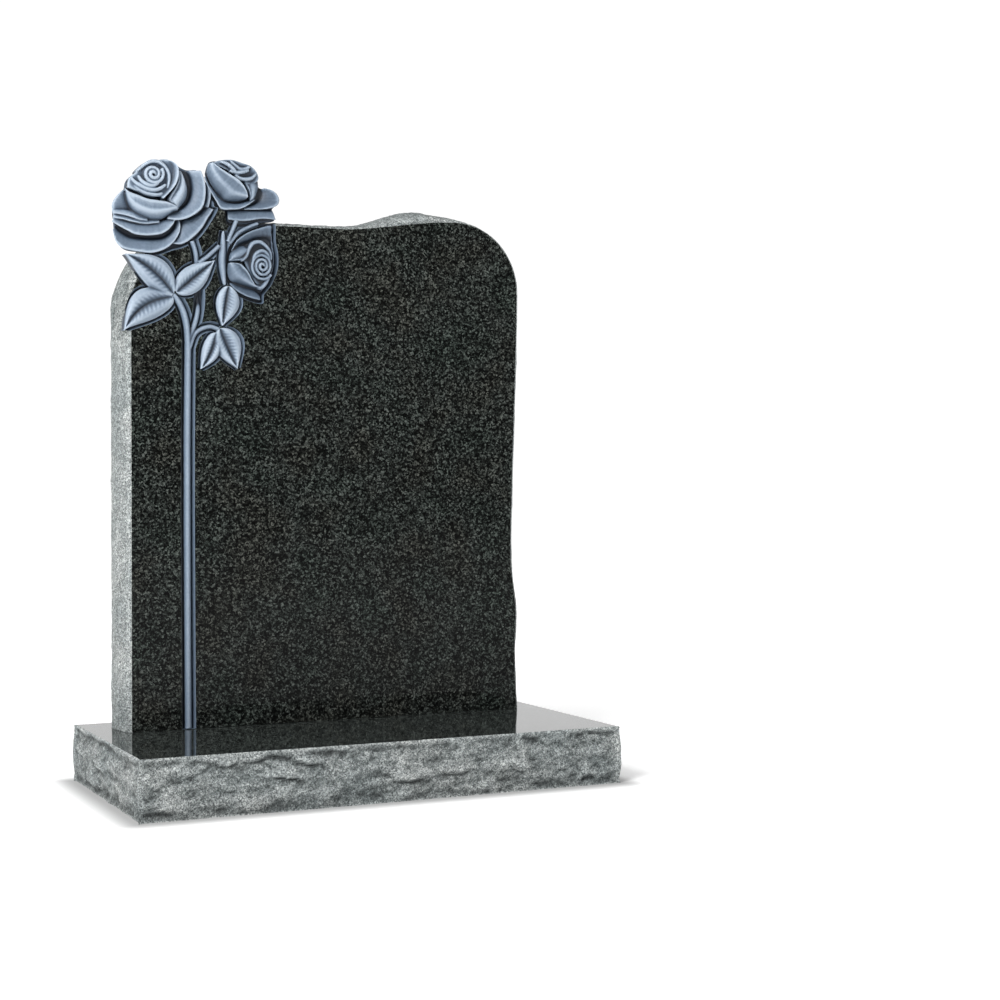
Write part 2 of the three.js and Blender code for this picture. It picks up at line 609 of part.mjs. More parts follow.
// The web of stone left between the two upper heads, whose front is the polished face.
const headWeb = [[2, 134], [60, 134], [56, 160], [49, 176], [42, 187], [34, 195], [28, 190], [18, 168]];

// Joins all the solids of a list into one.
const joined = (solids) => solids.reduce((sum, s) => sum.add(s));
function roseHead({ outline, petals, core, folds, heart: rolled }, front, back) {
  const flat = (loop, top) => headBody(loop, top, -carvingDepth);
  const middle = middleOf(headLoop(outline));
  const opened = petals.map((shape) => petal({ ...shape, middle }));
  const parts = [headBody(outline, front, back), flat(core, 0), ...opened, ...folds.map(ridge)];
  if (rolled) parts.push(heart(rolled));
  return joined(parts);
}

function headstone() {
  const heads = [openRose, sideRose, lowRose];
  const pockets = [...leaves.map(leafGroove), ...stems.map(ridgeGroove), ...heads.map(headPocket)];
  const carving = [
    ...leaves.map(leafSolid),
    ...stems.map(ridge),
    roseHead(openRose, -10, -headDepth),
    roseHead(sideRose, -8, -headDepth),
    roseHead(lowRose, -9, -carvingDepth),
  ];
  const face = slabBlock().add(headBody(headWeb, 0, -headDepth));
  const whole = face.subtract(joined(pockets)).add(joined(carving));
  const below = new THREE.BoxGeometry(2 * slabWidth, 4 * slabThickness, 20).translate(0, faceY, slabFoot - 10);
  const { array } = below.attributes.position;
  const corners = Array.from({ length: array.length / 3 }, (_, i) => new THREE.Vector3().fromArray(array, 3 * i));
  return outerSkin(whole.subtract(solid(corners, [...below.index.array])));
}

const polishedGranite = new THREE.MeshStandardMaterial({ color: 0x2e3232, roughness: 0.12, metalness: 0 });
const pitchedGranite = new THREE.MeshStandardMaterial({ color: 0x8d9394, roughness: 0.8, metalness: 0 });

const group = new THREE.Group();
group.add(meshOf('base', baseBlock(), pitchedGranite));
group.add(meshOf('headstone', headstone(), polishedGranite));

export default group;
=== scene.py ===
import math

import bpy
import numpy as np
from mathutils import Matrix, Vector, noise


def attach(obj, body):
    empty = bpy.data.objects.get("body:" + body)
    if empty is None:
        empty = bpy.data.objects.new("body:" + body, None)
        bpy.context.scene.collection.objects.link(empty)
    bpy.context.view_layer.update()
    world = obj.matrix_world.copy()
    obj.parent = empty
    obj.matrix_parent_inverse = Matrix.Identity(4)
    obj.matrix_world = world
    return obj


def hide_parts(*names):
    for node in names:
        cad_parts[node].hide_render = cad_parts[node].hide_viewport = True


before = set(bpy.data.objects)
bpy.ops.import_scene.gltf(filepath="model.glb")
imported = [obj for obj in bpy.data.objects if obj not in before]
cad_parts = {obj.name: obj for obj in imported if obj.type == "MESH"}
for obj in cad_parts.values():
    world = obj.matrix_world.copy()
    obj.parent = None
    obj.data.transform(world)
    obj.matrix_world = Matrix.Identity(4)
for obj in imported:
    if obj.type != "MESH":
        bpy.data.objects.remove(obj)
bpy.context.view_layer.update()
mm = 0.001  # the sizes below are millimetres in the record's frame

cameraView = {
    "place": (-0.856, -2.2067, 0.4028),  # metres, fitted to the photograph's perspective
    "pitch": 89.406,
    "turn": -26.21,
    "lens": 63.36,
}
bpy.ops.object.camera_add(
    location=cameraView["place"],
    rotation=(math.radians(cameraView["pitch"]), 0, math.radians(cameraView["turn"])),
)
camera = bpy.context.object
camera.name = "view"
camera.data.lens = cameraView["lens"]
camera.data.sensor_width = 36
bpy.context.scene.camera = camera
bpy.context.scene.view_settings.view_transform = "Standard"
print("camera placed")


def clearSelection():
    if bpy.context.object and bpy.context.object.mode != "OBJECT":
        bpy.ops.object.mode_set(mode="OBJECT")
    bpy.ops.object.select_all(action="DESELECT")


def selectOnly(piece):
    clearSelection()
    piece.select_set(True)
    bpy.context.view_layer.objects.active = piece


def linear(hexColour):
    parts = [int(hexColour[i : i + 2], 16) / 255 for i in (1, 3, 5)]
    return tuple(c / 12.92 if c <= 0.04045 else ((c + 0.055) / 1.055) ** 2.4 for c in parts) + (1.0,)


def addNode(material, kind, settings=None, links=None):  # one node, its settings and its inputs
    node = material.node_tree.nodes.new("ShaderNode" + kind)
    for key, value in (settings or {}).items():
        if key == "stops":
            ramp = node.color_ramp
            while len(ramp.elements) < len(value):
                ramp.elements.new(0.5)
            for element, (place, colour) in zip(ramp.elements, value):
                element.position = place
                element.color = linear(colour) if isinstance(colour, str) else (colour,) * 3 + (1.0,)
        elif isinstance(key, str) and hasattr(node, key):
            setattr(node, key, value)
        else:
            node.inputs[key].default_value = value
    for key, socket in (links or {}).items():
        material.node_tree.links.new(socket, node.inputs[key])
    return node


def newMaterial(name):
    material = bpy.data.materials.new(name)
    material.use_nodes = True
    material.node_tree.nodes.clear()
    return material


def toneRamp(material, value, stops):
    return addNode(material, "ValToRGB", {"stops": stops}, {"Fac": value}).outputs[0]


def multiply(material, share, colour, other):
    settings = {"data_type": "RGBA", "blend_type": "MULTIPLY", 0: share}
    return addNode(material, "Mix", settings, {6: colour, 7: other}).outputs[2]


def noiseAt(material, place, scale, detail):
    return addNode(material, "TexNoise", {"Scale": scale, "Detail": detail}, {"Vector": place}).outputs


def bumpOf(material, height, strength, distance):
    settings = {"Strength": strength, "Distance": distance}
    return addNode(material, "Bump", settings, {"Height": height}).outputs[0]


def finishMaterial(material, settings, links):
    shader = addNode(material, "BsdfPrincipled", settings, links)
    addNode(material, "OutputMaterial", links={"Surface": shader.outputs[0]})
    return material


# granite: dark grey stone of feldspar, quartz and black mica, 2 to 3 mm in the grain

graniteGrain = {
    "coarse": 2.5,  # mm across a feldspar
    "fine": 1.3,  # mm across a mica flake
    "cloud": 70,  # mm, the slow change of tone across the slab
    "polishedFlakes": 0.4,  # share of the mica in the pattern of a polished face
    "crushedFlakes": 0.7,  # and of a split one, where the crystals are broken small
    "bend": 2.6,  # mm that the grains' borders wander
    "bendScale": 420.0,
    "gritScale": 330.0,  # bumps of about 3 mm on a split face
}


def mineralPattern(material, flakes):  # a value from 0 to 1 for each grain, and the slow cloud
    place = addNode(material, "TexCoord").outputs["Object"]
    bend = noiseAt(material, place, graniteGrain["bendScale"], 2.0)["Color"]
    shift = addNode(material, "VectorMath", {"operation": "SUBTRACT", 1: (0.5, 0.5, 0.5)}, {0: bend})
    bent = addNode(
        material,
        "VectorMath",
        {"operation": "MULTIPLY_ADD", 1: (graniteGrain["bend"] * mm,) * 3},
        {0: shift.outputs[0], 2: place},
    ).outputs[0]
    coarse = addNode(
        material, "TexVoronoi", {"Scale": 1000 / graniteGrain["coarse"]}, {"Vector": bent}
    )
    fine = addNode(material, "TexVoronoi", {"Scale": 1000 / graniteGrain["fine"]}, {"Vector": bent})
    coarseValue = addNode(material, "SeparateColor", links={0: coarse.outputs["Color"]}).outputs[0]
    fineValue = addNode(material, "SeparateColor", links={0: fine.outputs["Color"]}).outputs[1]
    grain = addNode(
        material, "Mix", {"data_type": "FLOAT", 0: flakes}, {2: coarseValue, 3: fineValue}
    ).outputs[0]
    cloud = noiseAt(material, place, 1000 / graniteGrain["cloud"], 3.0)["Fac"]
    return place, grain, cloud


def polishedGranite():  # wet-looking dark face, mirror-like where it is seen along the surface
    material = newMaterial("polishedGranite")
    _, grain, cloud = mineralPattern(material, graniteGrain["polishedFlakes"])
    minerals = toneRamp(material, grain, [
        (0.24, "#080909"), (0.42, "#111312"), (0.54, "#222524"),
        (0.66, "#343836"), (0.78, "#494e4c"), (0.92, "#6b716e"),
    ])
    tone = toneRamp(material, cloud, [(0.35, "#c6bdb4"), (0.5, "#c8c8c4"), (0.68, "#bcc6be")])
    colour = multiply(material, 0.8, minerals, tone)
    return finishMaterial(material, {"Roughness": 0.06, "IOR": 1.14}, {"Base Color": colour})


def polishedTop():  # the same stone laid flat, where the studio shows in it
    material = newMaterial("polishedGraniteTop")
    _, grain, _ = mineralPattern(material, graniteGrain["polishedFlakes"])
    minerals = toneRamp(material, grain, [
        (0.22, "#0b0c0c"), (0.42, "#1c1f1e"), (0.6, "#343836"), (0.85, "#5d6360"),
    ])
    return finishMaterial(material, {"Roughness": 0.05, "IOR": 1.54}, {"Base Color": minerals})


def pitchedGranite():  # split rock: crushed crystals scatter the light, so it is pale and dull
    material = newMaterial("pitchedGranite")
    place, grain, cloud = mineralPattern(material, graniteGrain["crushedFlakes"])
    minerals = toneRamp(material, grain, [
        (0.12, "#55595a"), (0.34, "#7c8081"), (0.55, "#a2a6a7"), (0.75, "#bdc1c1"), (0.92, "#e0e3e3"),
    ])
    tone = toneRamp(material, cloud, [(0.35, "#c4cac9"), (0.65, "#efefec")])
    colour = multiply(material, 0.85, minerals, tone)
    relief = addNode(material, "Attribute", {"attribute_name": "relief"}).outputs["Fac"]
    reliefShading = toneRamp(material, relief, [  # painted shade darkens the hollows and a painted highlight lightens the crests
        (0.1, "#4a4d4e"), (0.42, "#bfc2c2"), (0.62, "#dfe0e0"), (0.9, "#ffffff"),
    ])
    colour = multiply(material, 1.0, colour, reliefShading)
    grit = noiseAt(material, place, graniteGrain["gritScale"], 6.0)["Fac"]
    bump = bumpOf(material, grit, 0.7, 0.002)
    return finishMaterial(material, {"Roughness": 0.88, "IOR": 1.5}, {"Base Color": colour, "Normal": bump})


carvedFinish = {
    "washScale": 330.0,  # the wash dries in patches of about 3 mm
    "washShare": 0.16,
    "toolScale": 700.0,  # tool marks of about 1.5 mm
}


def tintedCarving():  # tooled stone with a blue-grey wash; its dark cuts and pale crests are partly the real wash and partly painted shade and painted highlight
    material = newMaterial("tintedCarving")
    place = addNode(material, "TexCoord").outputs["Object"]
    relief = addNode(material, "Attribute", {"attribute_name": "relief"}).outputs["Fac"]
    wash = noiseAt(material, place, carvedFinish["washScale"], 4.0)["Fac"]
    blend = {"operation": "MULTIPLY_ADD", 1: carvedFinish["washShare"]}
    value = addNode(material, "Math", blend, {0: wash, 2: relief}).outputs[0]
    colour = toneRamp(material, value, [
        (0.12, "#151c26"), (0.32, "#2d3948"), (0.52, "#495767"), (0.72, "#677687"), (0.98, "#9ba8b6"),
    ])
    grit = noiseAt(material, place, carvedFinish["toolScale"], 3.0)["Fac"]
    bump = bumpOf(material, grit, 0.25, 0.0008)
    return finishMaterial(material, {"Roughness": 0.55, "IOR": 1.5}, {"Base Color": colour, "Normal": bump})


polished = polishedGranite()
mirrorTop = polishedTop()
pitched = pitchedGranite()
carved = tintedCarving()
print("materials made")


# curves and rings shared by the pieces


def curvePoint(points, share):  # a smooth curve through points
    last = len(points) - 1
    place = min(max(share, 0.0), 1.0) * last
    i = min(int(place), last - 1)
    f = place - i
    near = (points[max(i - 1, 0)], points[i], points[i + 1], points[min(i + 2, last)])
    return tuple(
        0.5 * (2 * b + (c - a) * f + (2 * a - 5 * b + 4 * c - d) * f * f + (3 * b - a - 3 * c + d) * f**3)
        for a, b, c, d in zip(*near)
    )


def evenly(points, step):  # the same line with its points about step apart
    lengths = [0.0]
    for a, b in zip(points, points[1:]):
        lengths.append(lengths[-1] + math.dist(a, b))
    count = max(2, round(lengths[-1] / step))
    spaced, i = [], 0
    for k in range(count):
        goal = lengths[-1] * k / count
        while lengths[i + 1] < goal:
            i += 1
        f = (goal - lengths[i]) / (lengths[i + 1] - lengths[i])
        spaced.append(tuple(a + (b - a) * f for a, b in zip(points[i], points[i + 1])))
    return spaced


def turnOutward():
    bpy.ops.object.mode_set(mode="EDIT")
    bpy.ops.mesh.select_all(action="SELECT")
    bpy.ops.mesh.normals_make_consistent(inside=False)
    bpy.ops.object.mode_set(mode="OBJECT")


def ringBody(name, rings):  # a grid primitive wrapped round the rings and closed at both ends
    around, along = len(rings[0]), len(rings) - 1
    clearSelection()
    bpy.ops.mesh.primitive_grid_add(x_subdivisions=around, y_subdivisions=along, size=2)
    piece = bpy.context.object
    piece.name = piece.data.name = name
    for vertex in piece.data.vertices:
        i = round((vertex.co.x + 1) / 2 * around) % around
        k = round((vertex.co.y + 1) / 2 * along)
        vertex.co = Vector(rings[k][i]) * mm
    bpy.ops.object.mode_set(mode="EDIT")
    bpy.ops.mesh.select_all(action="SELECT")
    bpy.ops.mesh.remove_doubles(threshold=1e-6)
    bpy.ops.mesh.fill_holes(sides=0)
    turnOutward()
    return piece


def joinPieces(name, pieces):
    clearSelection()
    for piece in pieces:
        piece.select_set(True)
    bpy.context.view_layer.objects.active = pieces[0]
    bpy.ops.object.join()
    pieces[0].name = pieces[0].data.name = name
    return pieces[0]


def applyModifier(piece, kind, **settings):
    selectOnly(piece)
    modifier = piece.modifiers.new(kind, kind)
    for key, value in settings.items():
        setattr(modifier, key, value)
    bpy.ops.object.modifier_apply(modifier=modifier.name)


def splitRock(along, across, seed, wide, tall):  # scalloped flakes with ridges between, about -1 to 1
    warp = noise.noise(Vector((along / wide * 0.7, across / tall * 0.7, seed + 9)))
    spot = Vector((along / wide + warp * 0.5, across / tall + warp * 0.4, seed))
    flake = noise.voronoi(spot)[0][0] * 1.6 - 0.75
    chip = noise.voronoi(spot * 2.7)[0][0] * 1.6 - 0.75
    grit = noise.fractal(spot * 7.0, 0.8, 2.0, 3)
    return 0.62 * flake + 0.26 * chip + 0.16 * grit


# how the relief value paints shade in cuts and hollows and highlight on crests
reliefRule = {
    "most": 0.45,  # how much a crest or a cut may change the value
    "cutFrom": -4,  # mm out of the polished front, below which painted shade makes a cut darker
    "cutSpan": 4,
    "crestTop": 12,  # mm, above which more height changes nothing
    "heightShare": 0.15,
}


# How far each point stands above its surroundings, kept as an attribute that the materials read to paint
# shade in the hollows and highlight on the crests. weights gives the smoothing steps to compare with and the
# share of each, and the last argument how much painted shade darkens deep cuts.
def markRelief(piece, middle, weights, depthShade=0.0):
    mesh = piece.data
    count = len(mesh.vertices)
    points = np.empty(count * 3)
    mesh.vertices.foreach_get("co", points)
    points = points.reshape(-1, 3)
    normals = np.empty(count * 3)
    mesh.vertices.foreach_get("normal", normals)
    normals = normals.reshape(-1, 3)
    edges = np.empty(len(mesh.edges) * 2, dtype=np.int64)
    mesh.edges.foreach_get("vertices", edges)
    a, b = edges.reshape(-1, 2).T
    degree = np.bincount(a, minlength=count) + np.bincount(b, minlength=count)
    smooth = points.copy()
    stands = np.zeros(count)
    for step in range(1, weights[-1][0] + 1):
        total = np.zeros_like(smooth)
        for axis in range(3):
            total[:, axis] += np.bincount(a, smooth[b, axis], count) + np.bincount(b, smooth[a, axis], count)
        smooth = total / degree[:, None]
        for reach, weight in weights:
            if step == reach:
                stands += weight * np.einsum("ij,ij->i", points - smooth, normals) / mm
    rule = reliefRule
    # painted shade in the hollows and painted highlight on the crests
    value = middle + rule["most"] * np.tanh(stands / rule["most"])
    height = faceY - points[:, 1] / mm
    # painted shade: deep cuts darker and high parts lighter
    value += depthShade * np.clip(height - rule["cutFrom"], -rule["cutSpan"], 0.0)
    rise = np.clip(height, rule["cutFrom"], rule["crestTop"]) - rule["cutSpan"]
    value += rule["heightShare"] * depthShade * rise
    relief = mesh.attributes.get("relief") or mesh.attributes.new("relief", "FLOAT", "POINT")
    relief.data.foreach_set("value", np.clip(value, 0.0, 1.0).astype(np.float32))
    print(piece.name, "relief", [round(float(v), 2) for v in np.percentile(value, (5, 25, 50, 75, 95))])


# the base: sawn and polished on top, pitched on its four sides

baseShape = {
    "width": 650,
    "depth": 337,
    "height": 76,
    "pitch": 5.5,  # how far the rock face stands out of the arris
    "proudest": 4.9,
    "tuck": 3,  # how far it draws in at its foot
    "step": 2.6,
    "flakeWide": 44,
    "flakeTall": 21,
    "rough": 5,
    "shelf": 34,  # mm from one broken shelf to the next
    "shelfDepth": 8,
    "shelfMiddle": 0.3,
    "setIn": 3.5,  # how far the broken face lies behind its proudest lips
    "arris": 1.8,
    "arrisHighlight": 1.0,  # relief value of the arrises, a painted highlight
    "arrisHighlightSide": 5,  # mm from a corner
    "arrisHighlightTop": 2.5,  # mm below the top
    "reliefSteps": ((3, 0.3), (10, 0.12), (40, 0.04)),
}


shelfWander = {
    "sweep": 30,  # mm that a shelf rises and falls
    "sweepLong": 85,
    "ripple": 7,
    "rippleLong": 19,
    "patchLong": 40,  # mm from one strong stretch to the next
}


def brokenShelves(along, height, shelf):  # steps left where flakes broke off, undercut below, 0 to 1
    wander = shelfWander
    sweep = noise.noise(Vector((along / wander["sweepLong"], height / 60, 21)))
    ripple = noise.noise(Vector((along / wander["rippleLong"], height / 22, 8)))
    lift = wander["sweep"] * sweep + wander["ripple"] * ripple
    place = (height + lift) / shelf
    climb = place - math.floor(place)
    patch = Vector((along / wander["patchLong"], math.floor(place) * 3.7 + height / 50, 2))
    strength = 0.35 + 1.3 * noise.noise(patch)
    return min(1.0, max(0.0, strength)) * min(1.0, climb / 0.2) * (1 - climb) ** 0.8


def makeBase():
    s = baseShape
    halfW, halfD = s["width"] / 2, s["depth"] / 2
    corners = [(-halfW, -halfD), (halfW, -halfD), (halfW, halfD), (-halfW, halfD)]
    border, travelled = [], 0.0
    for a, b in zip(corners, corners[1:] + corners[:1]):
        normal = Vector((b[1] - a[1], a[0] - b[0])).normalized()
        for x, y in evenly([a, b], s["step"]):
            reach = min(math.dist((x, y), a), math.dist((x, y), b))  # distance from the corner
            border.append((x, y, normal, travelled + math.dist((x, y), a), min(1.0, reach / 14)))
        travelled += math.dist(a, b)
    count = round(s["height"] / s["step"])
    rings = []
    for k in range(count + 1):
        level = k / count
        swell = s["pitch"] * math.sin(math.pi * (0.12 + 0.88 * level)) - s["tuck"] * (1 - level) ** 2
        ring = []
        for x, y, normal, along, inner in border:
            ease = min(1.0, level * 7 + 0.25, (1 - level) * 9)
            rock = splitRock(along, level * s["height"], 3.0, s["flakeWide"], s["flakeTall"])
            shelves = brokenShelves(along, level * s["height"], s["shelf"]) - s["shelfMiddle"]
            rock = s["rough"] * rock + s["shelfDepth"] * shelves
            out = min(s["proudest"], swell + (rock - s["setIn"]) * ease * (0.4 + 0.6 * inner))
            if level == 1:
                out = -s["arris"] * 0.6 + 0.5 * noise.noise(Vector((along / 9, 0, 5)))
            dx, dy = normal.x * out, normal.y * out
            if inner < 0.01:  # the corner point belongs to both sides
                dx, dy = math.copysign(out * 0.7, x), math.copysign(out * 0.7, y)
            ring.append((x + dx, y + dy, level * s["height"]))
        rings.append(ring)
    top = rings[-1]
    rings[-1] = [(x, y, s["height"] - s["arris"]) for x, y, z in top]
    rings.append([(x * (1 - 1.1 / halfW), y * (1 - 1.1 / halfD), s["height"]) for x, y, z in top])
    base = ringBody("base_stone", rings)
    base.data.materials.append(pitched)
    base.data.materials.append(mirrorTop)
    for face in base.data.polygons:
        face.material_index = 1 if face.normal.z > 0.99 and face.center.z > (s["height"] - 0.2) * mm else 0
    selectOnly(base)
    bpy.ops.object.shade_smooth_by_angle(angle=math.radians(28))
    # relief for painted shade in the rock's hollows and painted highlight on its crests
    markRelief(base, 0.55, s["reliefSteps"])
    relief = base.data.attributes["relief"]
    for vertex, value in zip(base.data.vertices, relief.data):  # painted highlight: the arrises are painted pale
        x, y, z = (abs(c) / mm for c in vertex.co)
        corner = x > halfW - s["arrisHighlightSide"] and y > halfD - s["arrisHighlightSide"]
        if corner or z > s["height"] - s["arrisHighlightTop"]:
            value.value = max(value.value, s["arrisHighlight"])
    return base


# the slab: polished front, waved top, pitched edge

slabShape = {
    "width": 561,
    "height": 693,
    "thickness": 76,
    "setback": 224,
    "offset": 4,
    "bedGap": 0.3,
    "leftShoulder": 115,
    "rightShoulder": 95,
    "waveDrop": 20,
    "sideHollow": 9,
    "pitch": 7,
    "browRise": 13,
    "browReach": 48,
    "browInset": 158,
    "backSpread": 6,
    "step": 2.8,
    "flakeLong": 34,
    "flakeWide": 26,
    "rough": 3.2,
    "arris": 0.8,
    "stainFrom": 580,  # mm above the ground
    "stainReach": 60,
    "stain": 0.36,
    "reliefSteps": ((3, 0.35), (10, 0.1), (40, 0.02)),
}
slabFoot = baseShape["height"] + slabShape["bedGap"]
slabTop = slabFoot + slabShape["height"]
faceY = -baseShape["depth"] / 2 + slabShape["setback"]
slabLeft = slabShape["offset"] - slabShape["width"] / 2
slabRight = slabShape["offset"] + slabShape["width"] / 2


def slabEdge():  # the front arris from the lower right corner over the top to the lower left one
    s = slabShape
    crestX, crestZ = slabRight - s["rightShoulder"], slabTop - s["rightShoulder"]
    hollow = (s["offset"], slabTop - s["waveDrop"])
    shoulderTop = slabTop - s["waveDrop"] - 8
    leftX = slabLeft + s["leftShoulder"]
    rise = crestZ - slabFoot
    wave = ((0, 0), (0.13, 0.35), (0.24, 0.15), (0.36, 1), (0.55, 0.8), (0.78, 0.3), (0.94, 0), (1, 0))
    side = [(slabRight - s["sideHollow"] * share, slabFoot + rise * t) for t, share in wave]
    line = [curvePoint(side, i / 90) for i in range(90)]
    for i in range(40):
        angle = math.pi / 2 * i / 40
        radius = s["rightShoulder"]
        line.append((crestX + radius * math.cos(angle), crestZ + radius * math.sin(angle)))
    a, b = (crestX, slabTop), (crestX - 60, slabTop)
    c, d = (hollow[0] + 60, hollow[1]), hollow
    for i in range(50):
        t = i / 50
        line.append(
            tuple(
                p * (1 - t) ** 3 + 3 * q * t * (1 - t) ** 2 + 3 * r * t * t * (1 - t) + v * t**3
                for p, q, r, v in zip(a, b, c, d)
            )
        )
    a, b, c = hollow, (leftX + 60, hollow[1]), (leftX, shoulderTop)
    for i in range(40):
        t = i / 40
        line.append(tuple(p * (1 - t) ** 2 + 2 * q * t * (1 - t) + r * t * t for p, q, r in zip(a, b, c)))
    for i in range(41):
        angle = math.pi / 2 * (1 + i / 40)
        line.append(
            (
                leftX + s["leftShoulder"] * math.cos(angle),
                shoulderTop - s["leftShoulder"] + s["leftShoulder"] * math.sin(angle),
            )
        )
    line.append((slabLeft, slabFoot))
    return line


def makeSlab():
    s = slabShape
    edge = evenly(slabEdge(), s["step"]) + [(slabLeft, slabFoot)]
    bed = evenly([(slabLeft, slabFoot), (slabRight, slabFoot)], s["step"] * 2)[1:]
    outline = edge + bed
    normals = []
    for i, (x, z) in enumerate(edge):
        before, after = edge[max(i - 1, 0)], edge[min(i + 1, len(edge) - 1)]
        normal = Vector((after[1] - before[1], before[0] - after[0])).normalized()
        normals.append(Vector((math.copysign(1, x), 0)) if i in (0, len(edge) - 1) else normal)
    normals += [Vector((0, 0))] * len(bed)
    count = round(s["thickness"] / s["step"])
    rings = []
    for k in range(count + 1):
        level = k / count
        ring = []
        for i, ((x, z), normal) in enumerate(zip(outline, normals)):
            upward = max(0.0, normal.y)
            apart = (x - slabRight + s["browInset"]) / s["browReach"]
            brow = s["browRise"] * upward * math.exp(-(apart**2))
            pitch = s["pitch"] * (1 - 0.45 * upward) + brow
            ease = min(1.0, level * 7, (1 - level) * 7)
            rock = splitRock(i * s["step"], level * s["thickness"], 11.0, s["flakeLong"], s["flakeWide"])
            out = pitch * max(0.0, math.sin(math.pi * level)) ** 0.6 + s["backSpread"] * level
            out += s["rough"] * rock * ease
            if k in (0, count):
                out += 0.4 * noise.noise(Vector((i * s["step"] / 11, k, 2))) - s["arris"] * 0.3
            ring.append((x + normal.x * out, faceY + s["thickness"] * level, z + normal.y * out))
        rings.append(ring)
    front = [(x - n.x * 0.5, faceY, z - n.y * 0.5) for (x, y, z), n in zip(rings[0], normals)]
    rings[0] = [(x, faceY + s["arris"], z) for x, y, z in rings[0]]
    slab = ringBody("slab_stone", [front] + rings)
    # relief for painted shade in the rock's hollows and painted highlight on its crests
    markRelief(slab, 0.68, s["reliefSteps"])
    for vertex, value in zip(slab.data.vertices, slab.data.attributes["relief"].data):
        x, y, z = (c / mm for c in vertex.co)
        high = min(1.0, (z - s["stainFrom"]) / 40)
        if high > 0 and x < slabLeft + s["stainReach"]:  # the left shoulder has weathered darker
            blotch = 0.55 + 0.9 * noise.noise(Vector((y / 16, z / 16, 31)))
            value.value = max(0.15, value.value - s["stain"] * high * blotch)
    return slab


# the carving's own frame: u right of the stem, w above its fork, h out of the polished face

carving = {
    "stemInset": 76,
    "sprayDrop": 169,
    "stemWidth": 9.5,
    "twigWidth": 5.5,
    "grooveWidth": 4.5,
    "grooveFoot": 1.5,
    "grooveDepth": 9,
    "depth": 18,
    "headDepth": 36,
    "headTaper": 0.74,
    "petalTuck": 0.2,  # the backs of the petals draw in towards the head's middle by this share
    "voxel": 0.88,
    "soften": 2,
    "stemWash": 0.54,
    "stemSideShade": 0.3,  # painted shade: how much darker the sides of the stems are
    "reliefSteps": ((4, 0.55), (30, 0.2), (150, 0.1)),
}
stemX = slabLeft + carving["stemInset"]
forkZ = slabTop - carving["sprayDrop"]


def placed(u, w, h):
    return (stemX + u, faceY - h, forkZ + w)


# A grid laid on a surface and run back into the stone, where it may draw in towards a middle.
def sheetBody(name, along, across, surface, back, middle=None):
    clearSelection()
    bpy.ops.mesh.primitive_grid_add(x_subdivisions=along, y_subdivisions=across, size=2)
    piece = bpy.context.object
    piece.name = name
    for vertex in piece.data.vertices:
        vertex.co = Vector(placed(*surface((vertex.co.x + 1) / 2, (vertex.co.y + 1) / 2))) * mm
    bpy.ops.object.mode_set(mode="EDIT")
    bpy.ops.mesh.select_all(action="SELECT")
    bpy.ops.mesh.extrude_region_move()
    bpy.ops.object.mode_set(mode="OBJECT")
    for vertex in piece.data.vertices:
        if vertex.select:
            vertex.co.y = (faceY - back) * mm
            if middle:
                axis = Vector(placed(*middle, back)) * mm
                vertex.co = vertex.co.lerp(axis, carving["petalTuck"])
    turnOutward()
    return piece


def grooveBody(name, ring, depth):  # a groove cutter, steep below and flared at the polished face
    wide, foot = carving["grooveWidth"], carving["grooveFoot"]
    low = ring(foot + (wide - foot) * 0.3, -depth * 0.72)
    return ringBody(name, [ring(wide + 1.8, 5), ring(wide, 0), low, ring(foot, -depth)])


# leaves

leafShape = {
    "wash": 0.53,
    "edge": -1.5,
    "crest": 2.6,
    "rib": -3.2,
    "ribReach": 0.52,  # share of the half width from the rib to the crest
    "veins": 13,
    "vein": 0.32,  # height of a vein
}
leaves = [
    {"base": (-19, 49), "tip": (-83, 98), "bow": -7, "left": 20, "right": 20},
    {"base": (-20, 45), "tip": (-84, -1), "bow": -11, "left": 21, "right": 21},
    {"base": (-15, 51), "tip": (37, 96), "bow": 0, "left": 17, "right": 17},
    {"base": (56, 63), "tip": (47, 9), "bow": 0, "left": 19, "right": 13},
    {"base": (44, 6), "tip": (68, -47), "bow": 0, "left": 20, "right": 16},
    {"base": (39, 0), "tip": (17, -49), "bow": 4, "left": 12, "right": 13},
]


def leafPoint(leaf, s, t, extra=0.0):
    start, tip = Vector(leaf["base"]), Vector(leaf["tip"])
    along = tip - start
    across = Vector((-along.y, along.x)).normalized()
    half = leaf["left"] if t > 0 else leaf["right"]
    share = max(0.03, max(0.0, math.sin(math.pi * s**0.75)) ** (0.7 + 0.35 * s))
    middle = start + along * s + across * (4 * leaf["bow"] * s * (1 - s))
    return middle + across * (t * (half * share + extra))


def makeLeaf(leaf, index):
    def surface(s, share):
        t = 2 * share - 1
        side = abs(t)
        rise = leafShape["rib"] + (leafShape["crest"] - leafShape["rib"]) * math.sin(
            math.pi / 2 * min(1.0, side / leafShape["ribReach"])
        )
        if side > 0.62:
            rise += (leafShape["edge"] - leafShape["crest"]) * ((side - 0.62) / 0.38) ** 1.6
        ends = max(0.0, math.sin(math.pi * (0.05 + 0.9 * s))) ** 0.5
        vein = math.sin(2 * math.pi * (leafShape["veins"] * s - 1.7 * side))
        rise = rise * ends + leafShape["vein"] * vein * math.sin(math.pi * min(1.0, side * 1.6)) * ends
        point = leafPoint(leaf, s, t)
        return (point.x, point.y, rise)

    return sheetBody(f"leaf{index}", 60, 32, surface, -carving["depth"])


def leafCutter(leaf, index):
    def ring(extra, height):
        there = [leafPoint(leaf, i / 30, 1, extra) for i in range(31)]
        back = [leafPoint(leaf, 1 - i / 30, -1, extra) for i in range(31)]
        return [placed(p.x, p.y, height) for p in there + back]

    return grooveBody(f"leafCutter{index}", ring, carving["grooveDepth"] - 0.23 * index)


